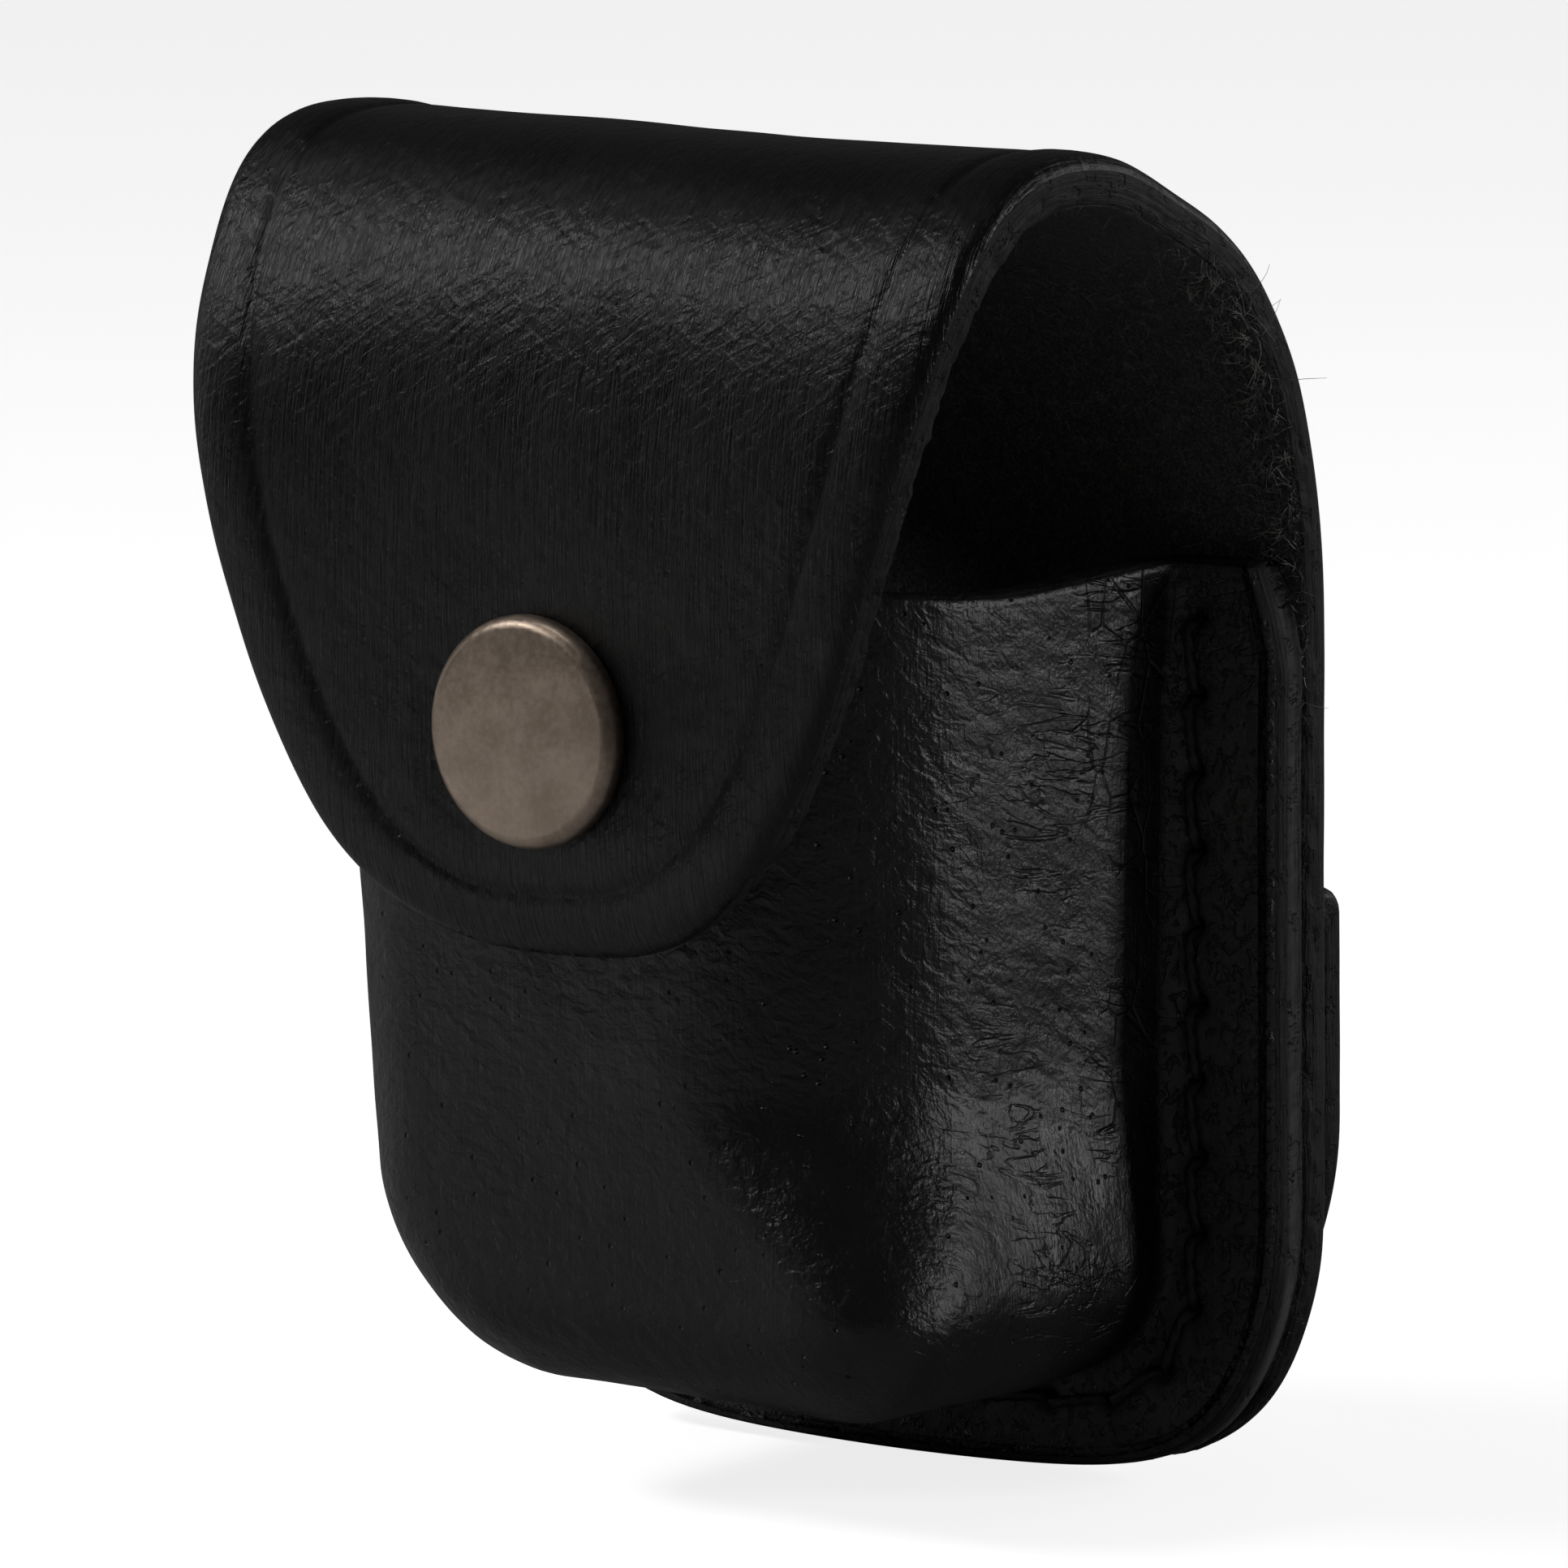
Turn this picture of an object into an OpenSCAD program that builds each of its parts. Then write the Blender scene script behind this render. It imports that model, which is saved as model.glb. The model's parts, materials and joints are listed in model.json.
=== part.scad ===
// Wet-moulded leather belt pouch: a folded back panel and flap, a moulded
// front pocket, a belt loop behind, lockstitched seams and a press stud.
// +X is the wearer's left-to-right width, -Y is the front, +Z is up.
// The origin lies on the back panel's rear face, at the middle of the belt channel.

/* [Leather] */
// Width across the flange and the flap
pouch_w = 61; // [52:0.5:76]
// Height from the bottom edge to the top of the arch
pouch_h = 89; // [84:0.5:100]
// Thickness of the body leather
leather_t = 3.1; // [2.4:0.1:3.4]
// Thickness of the pocket's stitched flange
flange_t = 3.3; // [2.6:0.1:3.6]

/* [Flap] */
// Distance from the rear face to the flap's outer face
flap_depth = 43.9; // [43.6:0.1:46]
// Height where the back panel starts to lean into the arch
arch_rear_z = 57; // [50:0.5:62]
// Height where the flap's front becomes straight
arch_front_z = 59.5; // [56:0.5:64]
// Distance from the rear face to the top of the arch
apex_depth = 26.6; // [22:0.2:30]
// Height of the flap's tip
tip_z = 37.2; // [34:0.2:42]
// How far the flap's tip curls back towards the pocket
tip_curl = 2.2; // [0:0.1:2.6]

/* [Pocket] */
// Half width of the moulded pocket
pocket_half_w = 22.8; // [20:0.2:24]
// Distance from the rear face to the pocket's front face
pocket_depth = 36.5; // [34:0.1:37]
// Height of the pocket's rim
rim_z = 61; // [58:0.5:62]
// Height of the pocket's moulded floor
floor_z = 7.3; // [6.8:0.1:9]
// Radius of the pocket's moulded corners
mould_r = 9; // [6:0.5:11]

/* [Belt loop] */
// Half width of the loop at its top
loop_half_w = 26; // [22:0.5:28]
// Distance from the rear face to the loop's outer face
loop_depth = 7.8; // [7.7:0.1:9]
// Thickness of the strap leather
strap_t = 2.4; // [2:0.1:2.6]
// Height of the loop's square top corner
loop_top_z = 38.6; // [36:0.2:42]
// Height where the loop turns in to its lower foot
loop_bottom_z = 12; // [11:0.2:14]

/* [Stitching] */
// Distance between stitch holes
stitch_pitch = 5; // [4:0.1:6]
// Diameter of the sewing thread
thread_d = 0.66; // [0.5:0.02:0.7]

/* [Press stud] */
// Diameter of the cap
cap_d = 15; // [13:0.5:17]
// Height of the cap above the flap
cap_h = 1.9; // [1.6:0.1:2.2]
// Height of the press stud's axis
snap_z = 52.4; // [50:0.2:54]

/* [Hidden] */
$fn = 48;
eps = 0.01;

half_w = pouch_w / 2;
belt_z = 24;                        // middle of the belt channel above the bottom edge
past = 5;                           // how far a cutting tool runs past what it cuts

// Outline of the bottom edge: a gentle bow that turns up into round corners
corner_h = 15;
bottom_bow = 1.8;
corner_sharpness = 6;
outline_steps = 16;

// Arch: two quarter superellipses that meet at the apex
arch_rear_n = 2.0;
arch_front_n = 2.54;
arch_steps = 12;
hinge_gap = 0.3;                    // slot between the panel and the flap, across the bending line
curl_start_z = 46;
curl_steps = 6;

// Flap outline: the half width falls from the apex to the tip
taper_u = 1.45;
taper_w = 2.75;
taper_steps = 22;

// Seam round the pocket
seam_half_w = 24.7;
seam_bottom_z = 4.9;
seam_top_z = 57.5;
seam_r = 9.5;
hole_r = 0.75;
leg_offset = 0.36;                  // two legs share each hole, this far either side of its centre

// Rows that hold the belt loop
loop_foot_end_z = 6;
loop_upper_end_z = 49;
loop_round_z = 24;                  // where the loop's sides start to round in, towards its foot
loop_rows = [[44.5, 17.5], [8, 17.5]]; // height and half length of each row
groove_depth = 0.8;                 // grooves that the other leather presses round a thread
groove_w = 1.8;

// Press stud, measured outwards from the pocket's front face
stud_base_r = 5.0;
stud_base_t = 0.7;
stud_neck_r = 2.3;
stud_head_r = 2.9;
stud_neck_top = 1.5;
stud_head_top = 2.7;
eyelet_r = 1.5;
eyelet_bore_r = 1.0;
eyelet_lip_r = 1.9;
eyelet_lip_t = 0.3;
eyelet_flange_r = 4.8;
eyelet_flange_t = 0.6;
socket_r = 6.2;
socket_lip = 1.15;
socket_bore_r = 3.8;
socket_plate_t = 0.4;
spring_groove = [1.6, 2.6, 4.55];   // from, to, radius
spring_wire_r = 0.35;
spring_ring_r = 4.0;
post_r = 1.9;
post_bore_r = 1.4;
post_flange_r = 6.4;
post_flange_t = 0.5;
clinch_r = 2.8;
clinch_t = 0.5;
cap_skin = 0.35;
fit_gap = 0.05;

flap_inner = flap_depth - leather_t;
snap_gap = flap_inner - pocket_depth;   // room between the pocket and the flap

// ---------- curves ----------

// One quarter superellipse from angle 0 to 90 degrees, as [cos, sin] factors
function super(n, a) = [pow(cos(a), 2 / n), pow(sin(a), 2 / n)];

// Points of a round arc
function arc(c, r, from, to, steps) =
    [for (i = [0:steps]) let (a = from + (to - from) * i / steps) c + r * [cos(a), sin(a)]];

// Height of the bottom edge at a distance x from the middle
function bottom_z(x) = let (u = min(1, abs(x) / half_w))
    corner_h * (1 - sqrt(1 - pow(u, corner_sharpness))) + bottom_bow * u * u;

// Left-to-right positions that crowd towards the corners
function bottom_x(i) = half_w * sin(90 * i / outline_steps);

// Half width of the flap at height z
function flap_half(z) = let (u = max(0, (pouch_h - z) / (pouch_h - tip_z)))
    half_w * pow(max(0, 1 - pow(u, taper_u)), 1 / taper_w);

// Outer face of the back panel, from the bottom up to the apex, as [y, z]
panel_path = concat([[0, -past]],
    [for (i = [0:arch_steps]) let (s = super(arch_rear_n, 90 * i / arch_steps))
        [-apex_depth * (1 - s[0]), arch_rear_z + (pouch_h - arch_rear_z) * s[1]]]);

// Outer face of the flap, from the apex down to the tip, as [y, z]
flap_path = concat(
    [for (i = [0:arch_steps]) let (s = super(arch_front_n, 90 * i / arch_steps))
        [-apex_depth - (flap_depth - apex_depth) * s[1],
         arch_front_z + (pouch_h - arch_front_z) * s[0]]],
    [for (i = [0:curl_steps]) let (u = i / curl_steps)
        [-flap_depth + tip_curl * u * u, curl_start_z + (tip_z - curl_start_z) * u]]);

function unit(v) = v / norm(v);
function tangent(p, i) = unit(p[min(i + 1, len(p) - 1)] - p[max(i - 1, 0)]);

// Closed outline of a sheet with its outer face on path p and its inner face t inside it
function sheet(p, t) = concat(p,
    [for (i = [len(p) - 1:-1:0]) let (d = tangent(p, i)) p[i] + t * [-d[1], d[0]]]);

// ---------- seams ----------

// Place along the seam round the pocket, at distance s from its left top: [x, z, direction]
seam_side = seam_top_z - seam_bottom_z - seam_r;
seam_bend = PI * seam_r / 2;
seam_base = 2 * (seam_half_w - seam_r);
seam_length = 2 * seam_side + 2 * seam_bend + seam_base;
seam_count = round(seam_length / stitch_pitch);

function seam_at(s) =
    s < seam_side ? [-seam_half_w, seam_top_z - s, -90] :
    s < seam_side + seam_bend ?
        let (a = (s - seam_side) / seam_r * 180 / PI)
        [-seam_half_w + seam_r * (1 - cos(a)), seam_bottom_z + seam_r * (1 - sin(a)), a - 90] :
    s <= seam_side + seam_bend + seam_base ?
        [-seam_half_w + seam_r + s - seam_side - seam_bend, seam_bottom_z, 0] :
    let (m = seam_at(seam_length - s)) [-m[0], m[1], -m[2]];

seam_holes = [for (i = [0:seam_count]) seam_at(seam_length * i / seam_count)];

function row_holes(row) = let (n = round(2 * row[1] / stitch_pitch))
    [for (i = [0:n]) [-row[1] + 2 * row[1] * i / n, row[0], 0]];

// Holes through y from the front to the back, one at each place of a list
module drill(places, r) {
    for (p = places)
        translate([p[0], past * 2, p[1]])
            rotate([90, 0, 0])
                cylinder(r = r, h = pocket_depth / 2);
}

// One ring of a thread, square to its direction
thread_sides = 6;
function ring(c, dir, side) = let (d = unit(dir), w = unit(cross(d, side)), v = cross(w, d))
    [for (k = [0:thread_sides - 1]) let (a = 360 * k / thread_sides)
        c + thread_d / 2 * (cos(a) * w + sin(a) * v)];

// One stitch: it comes up through one hole at p, runs along the face and goes down at q.
// face is the leather face it lies on, and out is +1 or -1, the way that face looks along y.
module stitch(p, q, face, depth, out) {
    r = thread_d / 2;
    a = [p[0] + leg_offset * cos(p[2]), p[1] + leg_offset * sin(p[2])];
    b = [q[0] - leg_offset * cos(q[2]), q[1] - leg_offset * sin(q[2])];
    along = unit([b[0] - a[0], 0, b[1] - a[1]]);
    side = cross(along, [0, 1, 0]);
    up = [0, out, 0];
    low = face - out * depth;
    high = face + out * (r + 0.02);
    rings = [
        ring([a[0], low, a[1]], up, side),
        ring([a[0], high - out * r, a[1]], up, side),
        ring([a[0], high, a[1]] + r * 0.9 * along, up * 0.3 + along, side),
        ring([b[0], high, b[1]] - r * 0.9 * along, along - up * 0.3, side),
        ring([b[0], high - out * r, b[1]], -up, side),
        ring([b[0], low, b[1]], -up, side)];
    n = thread_sides;
    last = len(rings) - 1;
    polyhedron(
        points = [for (loop = rings) for (point = loop) point],
        faces = concat(
            [[for (k = [0:n - 1]) k]],
            [for (j = [0:last - 1]) for (k = [0:n - 1])
                let (k2 = (k + 1) % n) each [
                    [j * n + k, (j + 1) * n + k, (j + 1) * n + k2],
                    [j * n + k, (j + 1) * n + k2, j * n + k2]]],
            [[for (k = [n - 1:-1:0]) last * n + k]]));
}

module stitch_run(places, face, depth, out) {
    for (i = [0:len(places) - 2])
        stitch(places[i], places[i + 1], face, depth, out);
}

// ---------- leather ----------

// A shape drawn as [y, z] and pushed along x, centred
module across(w) {
    rotate([90, 0, 90])
        linear_extrude(height = w, center = true)
            children();
}

// A shape drawn as [x, z] and pushed along y, from y0 to y1
module through(y0, y1) {
    translate([0, y1, 0])
        rotate([90, 0, 0])
            linear_extrude(height = y1 - y0)
                children();
}

// Outline of the flange and the back panel, up to height top
module panel_outline(top) {
    polygon(concat(
        [for (i = [-outline_steps:outline_steps]) let (x = bottom_x(i)) [x, bottom_z(x)]],
        [[half_w, top], [-half_w, top]]));
}

module back_panel() {
    color("#161616") translate([0, 0, -belt_z]) difference() {
        intersection() {
            across(pouch_w) polygon(sheet(panel_path, leather_t));
            through(-pocket_depth, past) panel_outline(pouch_h + past);
        }
        drill(seam_holes, hole_r);
        for (row = loop_rows) drill(row_holes(row), hole_r);
    }
}

module flap() {
    color("#1a1a1a") translate([0, 0, -belt_z]) difference() {
        intersection() {
            across(pouch_w) polygon(sheet(flap_path, leather_t));
            through(-flap_depth - past, -apex_depth - hinge_gap)
                polygon(concat(
                    [for (i = [-taper_steps:taper_steps])
                        let (z = pouch_h - (pouch_h - tip_z) * cos(90 * i / taper_steps))
                        [sign(i) * flap_half(z), z]],
                    [[half_w, pouch_h + past], [-half_w, pouch_h + past]]));
        }
        snap_at() cylinder(r = post_r + fit_gap, h = flap_depth);
    }
}

// The moulded block that the pocket is formed round, grown by d, up to height top
module moulded(d, top) {
    r = mould_r - leather_t + d;
    w = pocket_half_w - leather_t + d;
    z0 = floor_z + leather_t - d;
    front = pocket_depth - leather_t + d;
    hull() {
        for (side = [-1, 1]) {
            translate([side * (w - r), -front + r, z0 + r]) sphere(r = r, $fn = 32);
            translate([side * (w - r), -front + r, z0 + r]) cylinder(r = r, h = top - z0 - r, $fn = 32);
            translate([side * (w - r), 0, z0 + r])
                rotate([90, 0, 0]) cylinder(r = r, h = 1, $fn = 32);
            translate([side * (w - 1) - 1, -1, top - 1]) cube([2, 1, 1]);
        }
    }
}

module front_pocket() {
    color("#141414") translate([0, 0, -belt_z]) difference() {
        union() {
            through(-leather_t - flange_t, -leather_t) panel_outline(rim_z);
            intersection() {
                moulded(leather_t, rim_z);
                translate([-half_w, -pocket_depth, 0])
                    cube([pouch_w, pocket_depth - leather_t, rim_z]);
            }
        }
        moulded(0, rim_z + past);
        across(pouch_w + 2) polygon(sheet(panel_path, leather_t));
        drill(seam_holes, hole_r);
        snap_at() translate([0, 0, -past - leather_t]) cylinder(r = eyelet_r + 0.1, h = flap_depth);
        translate([-loop_rows[1][1] - 1, -leather_t - groove_depth, loop_rows[1][0] - groove_w / 2])
            cube([2 * loop_rows[1][1] + 2, groove_depth + eps, groove_w]);
    }
}

// Section of the belt loop as [y, z], a hat with a square top and a sloping lower web
loop_corner_r = 1.6;
loop_inner_y = loop_depth - strap_t;
loop_outer = concat(
    [[0, loop_foot_end_z], [strap_t, loop_foot_end_z], [strap_t, loop_bottom_z - 3]],
    arc([loop_depth - 3, loop_bottom_z + 1.2], 3, -50, 0, 4),
    arc([loop_depth - loop_corner_r, loop_top_z - loop_corner_r], loop_corner_r, 0, 90, 5),
    arc([strap_t + loop_corner_r, loop_top_z + loop_corner_r], loop_corner_r, 270, 180, 5),
    [[strap_t, loop_upper_end_z], [0, loop_upper_end_z]]);
loop_channel = concat(
    [[-1, loop_bottom_z - 2.2], [0, loop_bottom_z - 2.2]],
    arc([loop_inner_y - 1.5, loop_bottom_z + 2], 1.5, -50, 0, 3),
    arc([loop_inner_y - 0.6, loop_top_z - strap_t - 0.6], 0.6, 0, 90, 3),
    [[-1, loop_top_z - strap_t]]);

// Rounded foot of the loop, from its left side at -90 to its right side at 90, inside the seam
foot_steps = 10;
foot_middle = seam_half_w - seam_r;
function loop_foot_point(a) = [
    sign(a) * (foot_middle + (loop_half_w - foot_middle) * abs(sin(a))),
    loop_round_z - (loop_round_z - loop_foot_end_z) * cos(a)];

module belt_loop() {
    color("#181818") translate([0, 0, -belt_z]) difference() {
        intersection() {
            across(2 * loop_half_w) polygon(loop_outer);
            through(-1, loop_depth + 1)
                polygon(concat(
                    [for (i = [-foot_steps:foot_steps]) loop_foot_point(90 * i / foot_steps)],
                    arc([loop_half_w - 3, loop_upper_end_z - 3], 3, 0, 90, 5),
                    arc([-loop_half_w + 3, loop_upper_end_z - 3], 3, 90, 180, 5)));
        }
        across(2 * loop_half_w + 2) polygon(loop_channel);
        for (side = [-1, 1])
            translate([side * seam_half_w - groove_w / 2, -eps, 0])
                cube([groove_w, groove_depth + eps, pouch_h]);
        for (row = loop_rows) drill(row_holes(row), hole_r);
    }
}

// ---------- threads ----------

seam_stack = leather_t + flange_t;
seam_leg = seam_stack / 2 - 0.1;
loop_leg = (leather_t + strap_t) / 2 - 0.1;

module seam_front_thread() {
    color("#0c0c0c") translate([0, 0, -belt_z]) stitch_run(seam_holes, -seam_stack, seam_leg, -1);
}

module seam_back_thread() {
    color("#0c0c0c") translate([0, 0, -belt_z]) stitch_run(seam_holes, 0, seam_leg, 1);
}

module loop_outer_thread() {
    color("#0c0c0c") translate([0, 0, -belt_z])
        for (row = loop_rows) stitch_run(row_holes(row), strap_t, loop_leg, 1);
}

module loop_inner_thread() {
    color("#0c0c0c") translate([0, 0, -belt_z])
        for (row = loop_rows) stitch_run(row_holes(row), -leather_t, loop_leg, -1);
}

// ---------- press stud ----------

// Puts its children on the press stud's axis, with z = 0 on the pocket's front and z pointing forward
module snap_at() {
    translate([0, -pocket_depth, snap_z]) rotate([90, 0, 0]) children();
}

module snap_part() {
    translate([0, 0, -belt_z]) snap_at() children();
}

module snap_stud() {
    color("#8a7350") snap_part() rotate_extrude() polygon([
        [eyelet_r + fit_gap, 0], [stud_base_r, 0], [stud_base_r, stud_base_t - 0.2],
        [stud_base_r - 0.4, stud_base_t], [stud_neck_r, stud_base_t],
        [stud_neck_r, stud_neck_top - 0.1], [stud_head_r, stud_neck_top + 0.3],
        [stud_head_r, stud_head_top - 0.4], [stud_head_r - 0.4, stud_head_top],
        [eyelet_r + fit_gap, stud_head_top]]);
}

module snap_stud_eyelet() {
    color("#8a7350") snap_part() rotate_extrude() polygon([
        [eyelet_bore_r, -leather_t - eyelet_flange_t],
        [eyelet_flange_r, -leather_t - eyelet_flange_t], [eyelet_flange_r, -leather_t],
        [eyelet_r, -leather_t], [eyelet_r, stud_head_top], [eyelet_lip_r, stud_head_top],
        [eyelet_lip_r - 0.1, stud_head_top + eyelet_lip_t],
        [eyelet_bore_r, stud_head_top + eyelet_lip_t]]);
}

module snap_socket() {
    color("#8a7350") snap_part() rotate_extrude() polygon([
        [socket_bore_r, socket_lip], [socket_r - 1.2, socket_lip], [socket_r, socket_lip + 1.2],
        [socket_r, snap_gap], [post_r + fit_gap, snap_gap],
        [post_r + fit_gap, snap_gap - socket_plate_t],
        [socket_bore_r, snap_gap - socket_plate_t],
        [socket_bore_r, spring_groove[1]], [spring_groove[2], spring_groove[1]],
        [spring_groove[2], spring_groove[0]], [socket_bore_r, spring_groove[0]]]);
}

// An open ring of wire that lies in the socket's groove
module snap_socket_spring() {
    color("#a09070") snap_part()
        translate([0, 0, (spring_groove[0] + spring_groove[1]) / 2])
            rotate([0, 0, 100])
                rotate_extrude(angle = 340)
                    translate([spring_ring_r, 0]) circle(r = spring_wire_r, $fn = 24);
}

module snap_cap_post() {
    color("#8a7350") snap_part() rotate_extrude() polygon([
        [0, snap_gap + leather_t + post_flange_t],
        [post_flange_r, snap_gap + leather_t + post_flange_t],
        [post_flange_r, snap_gap + leather_t], [post_r, snap_gap + leather_t],
        [post_r, snap_gap - socket_plate_t], [clinch_r, snap_gap - socket_plate_t],
        [clinch_r - 0.2, snap_gap - socket_plate_t - clinch_t],
        [post_bore_r, snap_gap - socket_plate_t - clinch_t],
        [post_bore_r, snap_gap + leather_t], [0, snap_gap + leather_t]]);
}

// The cap is a thin pressed shell, gently domed, with a round rim that turns in on the leather
module snap_cap() {
    r = cap_d / 2;
    base = snap_gap + leather_t;
    rim = 0.95;
    shoulder = cap_h - 0.35;
    inner_r = r - cap_skin;
    color("#7d6b4f") snap_part() translate([0, 0, base]) rotate_extrude() polygon(concat(
        [[0, cap_h], [r * 0.45, cap_h - 0.05]],
        arc([r - rim, shoulder - rim], rim, 75, 0, 6),
        [[r, 0.3], [r - 0.3, 0], [r - 0.8, 0], [inner_r, cap_skin]],
        arc([r - rim, shoulder - rim], rim - cap_skin, 0, 75, 6),
        [[r * 0.45, cap_h - 0.05 - cap_skin], [0, cap_h - cap_skin]]));
}

back_panel();
flap();
front_pocket();
belt_loop();
seam_front_thread();
seam_back_thread();
loop_outer_thread();
loop_inner_thread();
snap_cap();
snap_cap_post();
snap_socket();
snap_socket_spring();
snap_stud();
snap_stud_eyelet();
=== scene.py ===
"""A wet-moulded black leather belt pouch with a snap flap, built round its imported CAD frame.

Lengths in the geometry code are millimetres in the frame's own axes; MM turns them into metres.
"""
import json
import math

import bmesh
import bpy
import numpy as np
from mathutils import Matrix, Vector, noise


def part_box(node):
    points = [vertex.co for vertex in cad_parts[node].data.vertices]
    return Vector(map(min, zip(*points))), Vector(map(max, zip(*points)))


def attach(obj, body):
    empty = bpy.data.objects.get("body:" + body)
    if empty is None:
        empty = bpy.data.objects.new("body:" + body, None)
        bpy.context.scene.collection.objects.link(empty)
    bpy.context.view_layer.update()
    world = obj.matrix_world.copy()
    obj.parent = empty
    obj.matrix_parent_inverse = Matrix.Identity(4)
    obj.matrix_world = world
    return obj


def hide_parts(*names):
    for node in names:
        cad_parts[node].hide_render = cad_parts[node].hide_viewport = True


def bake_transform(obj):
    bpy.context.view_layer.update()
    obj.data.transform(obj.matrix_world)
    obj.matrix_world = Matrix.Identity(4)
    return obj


MM = 0.001
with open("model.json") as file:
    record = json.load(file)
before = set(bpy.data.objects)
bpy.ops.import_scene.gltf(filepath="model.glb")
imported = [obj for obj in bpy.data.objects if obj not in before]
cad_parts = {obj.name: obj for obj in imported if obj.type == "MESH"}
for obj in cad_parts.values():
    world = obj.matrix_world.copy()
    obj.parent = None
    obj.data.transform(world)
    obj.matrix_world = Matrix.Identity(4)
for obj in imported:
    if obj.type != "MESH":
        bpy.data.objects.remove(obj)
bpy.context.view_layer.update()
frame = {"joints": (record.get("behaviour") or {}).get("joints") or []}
rng = np.random.default_rng(11)

# ---- sizes from the frame


def corners(node):
    """A CAD node's lowest and highest corners, in millimetres."""
    low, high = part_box(node)
    return np.array(low) / MM, np.array(high) / MM


panel_low, panel_high = corners("back_panel")
flap_low, _ = corners("flap")
pocket_low, pocket_high = corners("front_pocket")
loop_low, loop_high = corners("belt_loop")
cap_low, cap_high = corners("snap_cap")
hinge = next(j for j in frame["joints"] if j["name"] == "flap_hinge")

HALF_W = panel_high[0]
BOTTOM = panel_low[2]
TOP = panel_high[2]
APEX_Y = hinge["pos_m"][1] / MM
FLAP_Y = flap_low[1]
TIP_Z = flap_low[2]
POCKET_Y = pocket_low[1]
RIM_Z = pocket_high[2]
LOOP_Y = loop_high[1]
SNAP_Z = (cap_low[2] + cap_high[2]) / 2
CAP_R = (cap_high[0] - cap_low[0]) / 2

LEATHER_T = 3.1
FLANGE_T = 3.3
STRAP_T = 2.4
FLANGE_Y = -(LEATHER_T + FLANGE_T)

# ---- small geometry tools


def smooth(t):
    """0 to 1 with soft ends."""
    t = np.clip(t, 0, 1)
    return t * t * (3 - 2 * t)


def wander(points, size, seed=0.0):
    """Soft noise from -1 to 1 at each point, with bumps about size millimetres across."""
    points = np.asarray(points, float)
    flat = points.reshape(-1, points.shape[-1]) / size + seed
    if flat.shape[1] == 2:
        flat = np.c_[flat, np.full(len(flat), seed)]
    return np.array([noise.noise(Vector(p)) for p in flat]).reshape(points.shape[:-1])


def hump(distance, width):
    """1 at no distance, falling off softly over a width."""
    return np.exp(-((distance / width) ** 2))


def lengths(path):
    """Distance along a polyline at each of its points."""
    steps = np.linalg.norm(np.diff(path, axis=0), axis=1)
    return np.r_[0, np.cumsum(steps)]


def resample(path, count):
    """The same polyline as count + 1 evenly spaced points."""
    path = np.asarray(path, float)
    along = lengths(path)
    at = np.linspace(0, along[-1], count + 1)
    return np.stack([np.interp(at, along, path[:, k]) for k in range(path.shape[1])], axis=1)


def arc(centre, radius, start, end, steps=12):
    """Points of a round arc, angles in degrees."""
    a = np.radians(np.linspace(start, end, steps + 1))
    return np.c_[centre[0] + radius * np.cos(a), centre[1] + radius * np.sin(a)]


def normals_2d(path, closed):
    """Unit normals to the left of a polyline's direction."""
    if closed:
        d = np.roll(path, -1, axis=0) - np.roll(path, 1, axis=0)
    else:
        d = np.gradient(path, axis=0)
    d /= np.linalg.norm(d, axis=1)[:, None]
    return np.c_[-d[:, 1], d[:, 0]]


def coons(bottom, right, top, left):
    """A grid between four edges. bottom and top run left to right, left and right run upwards."""
    u = np.linspace(0, 1, len(bottom))[None, :, None]
    v = np.linspace(0, 1, len(left))[:, None, None]
    sides = (1 - v) * bottom[None] + v * top[None] + (1 - u) * left[:, None] + u * right[:, None]
    ends = (
        (1 - u) * (1 - v) * bottom[0] + u * (1 - v) * bottom[-1]
        + (1 - u) * v * top[0] + u * v * top[-1]
    )
    return sides - ends


def filleted(points, radius, steps=5):
    """A polyline with each inner corner rounded."""
    points = [np.array(p, float) for p in points]
    out = [points[0]]
    for before, corner, after in zip(points, points[1:], points[2:]):
        a, b = before - corner, after - corner
        la, lb = np.linalg.norm(a), np.linalg.norm(b)
        cut = min(radius, la * 0.45, lb * 0.45)
        p, q = corner + a / la * cut, corner + b / lb * cut
        for t in np.linspace(0, 1, steps + 1):
            out.append((1 - t) ** 2 * p + 2 * t * (1 - t) * corner + t * t * q)
    out.append(points[-1])
    return np.array(out)


def flat_grid(rows, columns):
    """The flat coordinates of a grid, as (the column's value, the row's value)."""
    return np.stack(np.meshgrid(columns, rows), axis=-1)


def add_object(name, data):
    """A new object in the scene."""
    made = bpy.data.objects.new(name, data)
    bpy.context.scene.collection.objects.link(made)
    return made


def edit_mesh(mesh, change):
    """Lets change work on a mesh as a bmesh."""
    work = bmesh.new()
    work.from_mesh(mesh)
    change(work)
    work.to_mesh(mesh)
    work.free()


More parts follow.
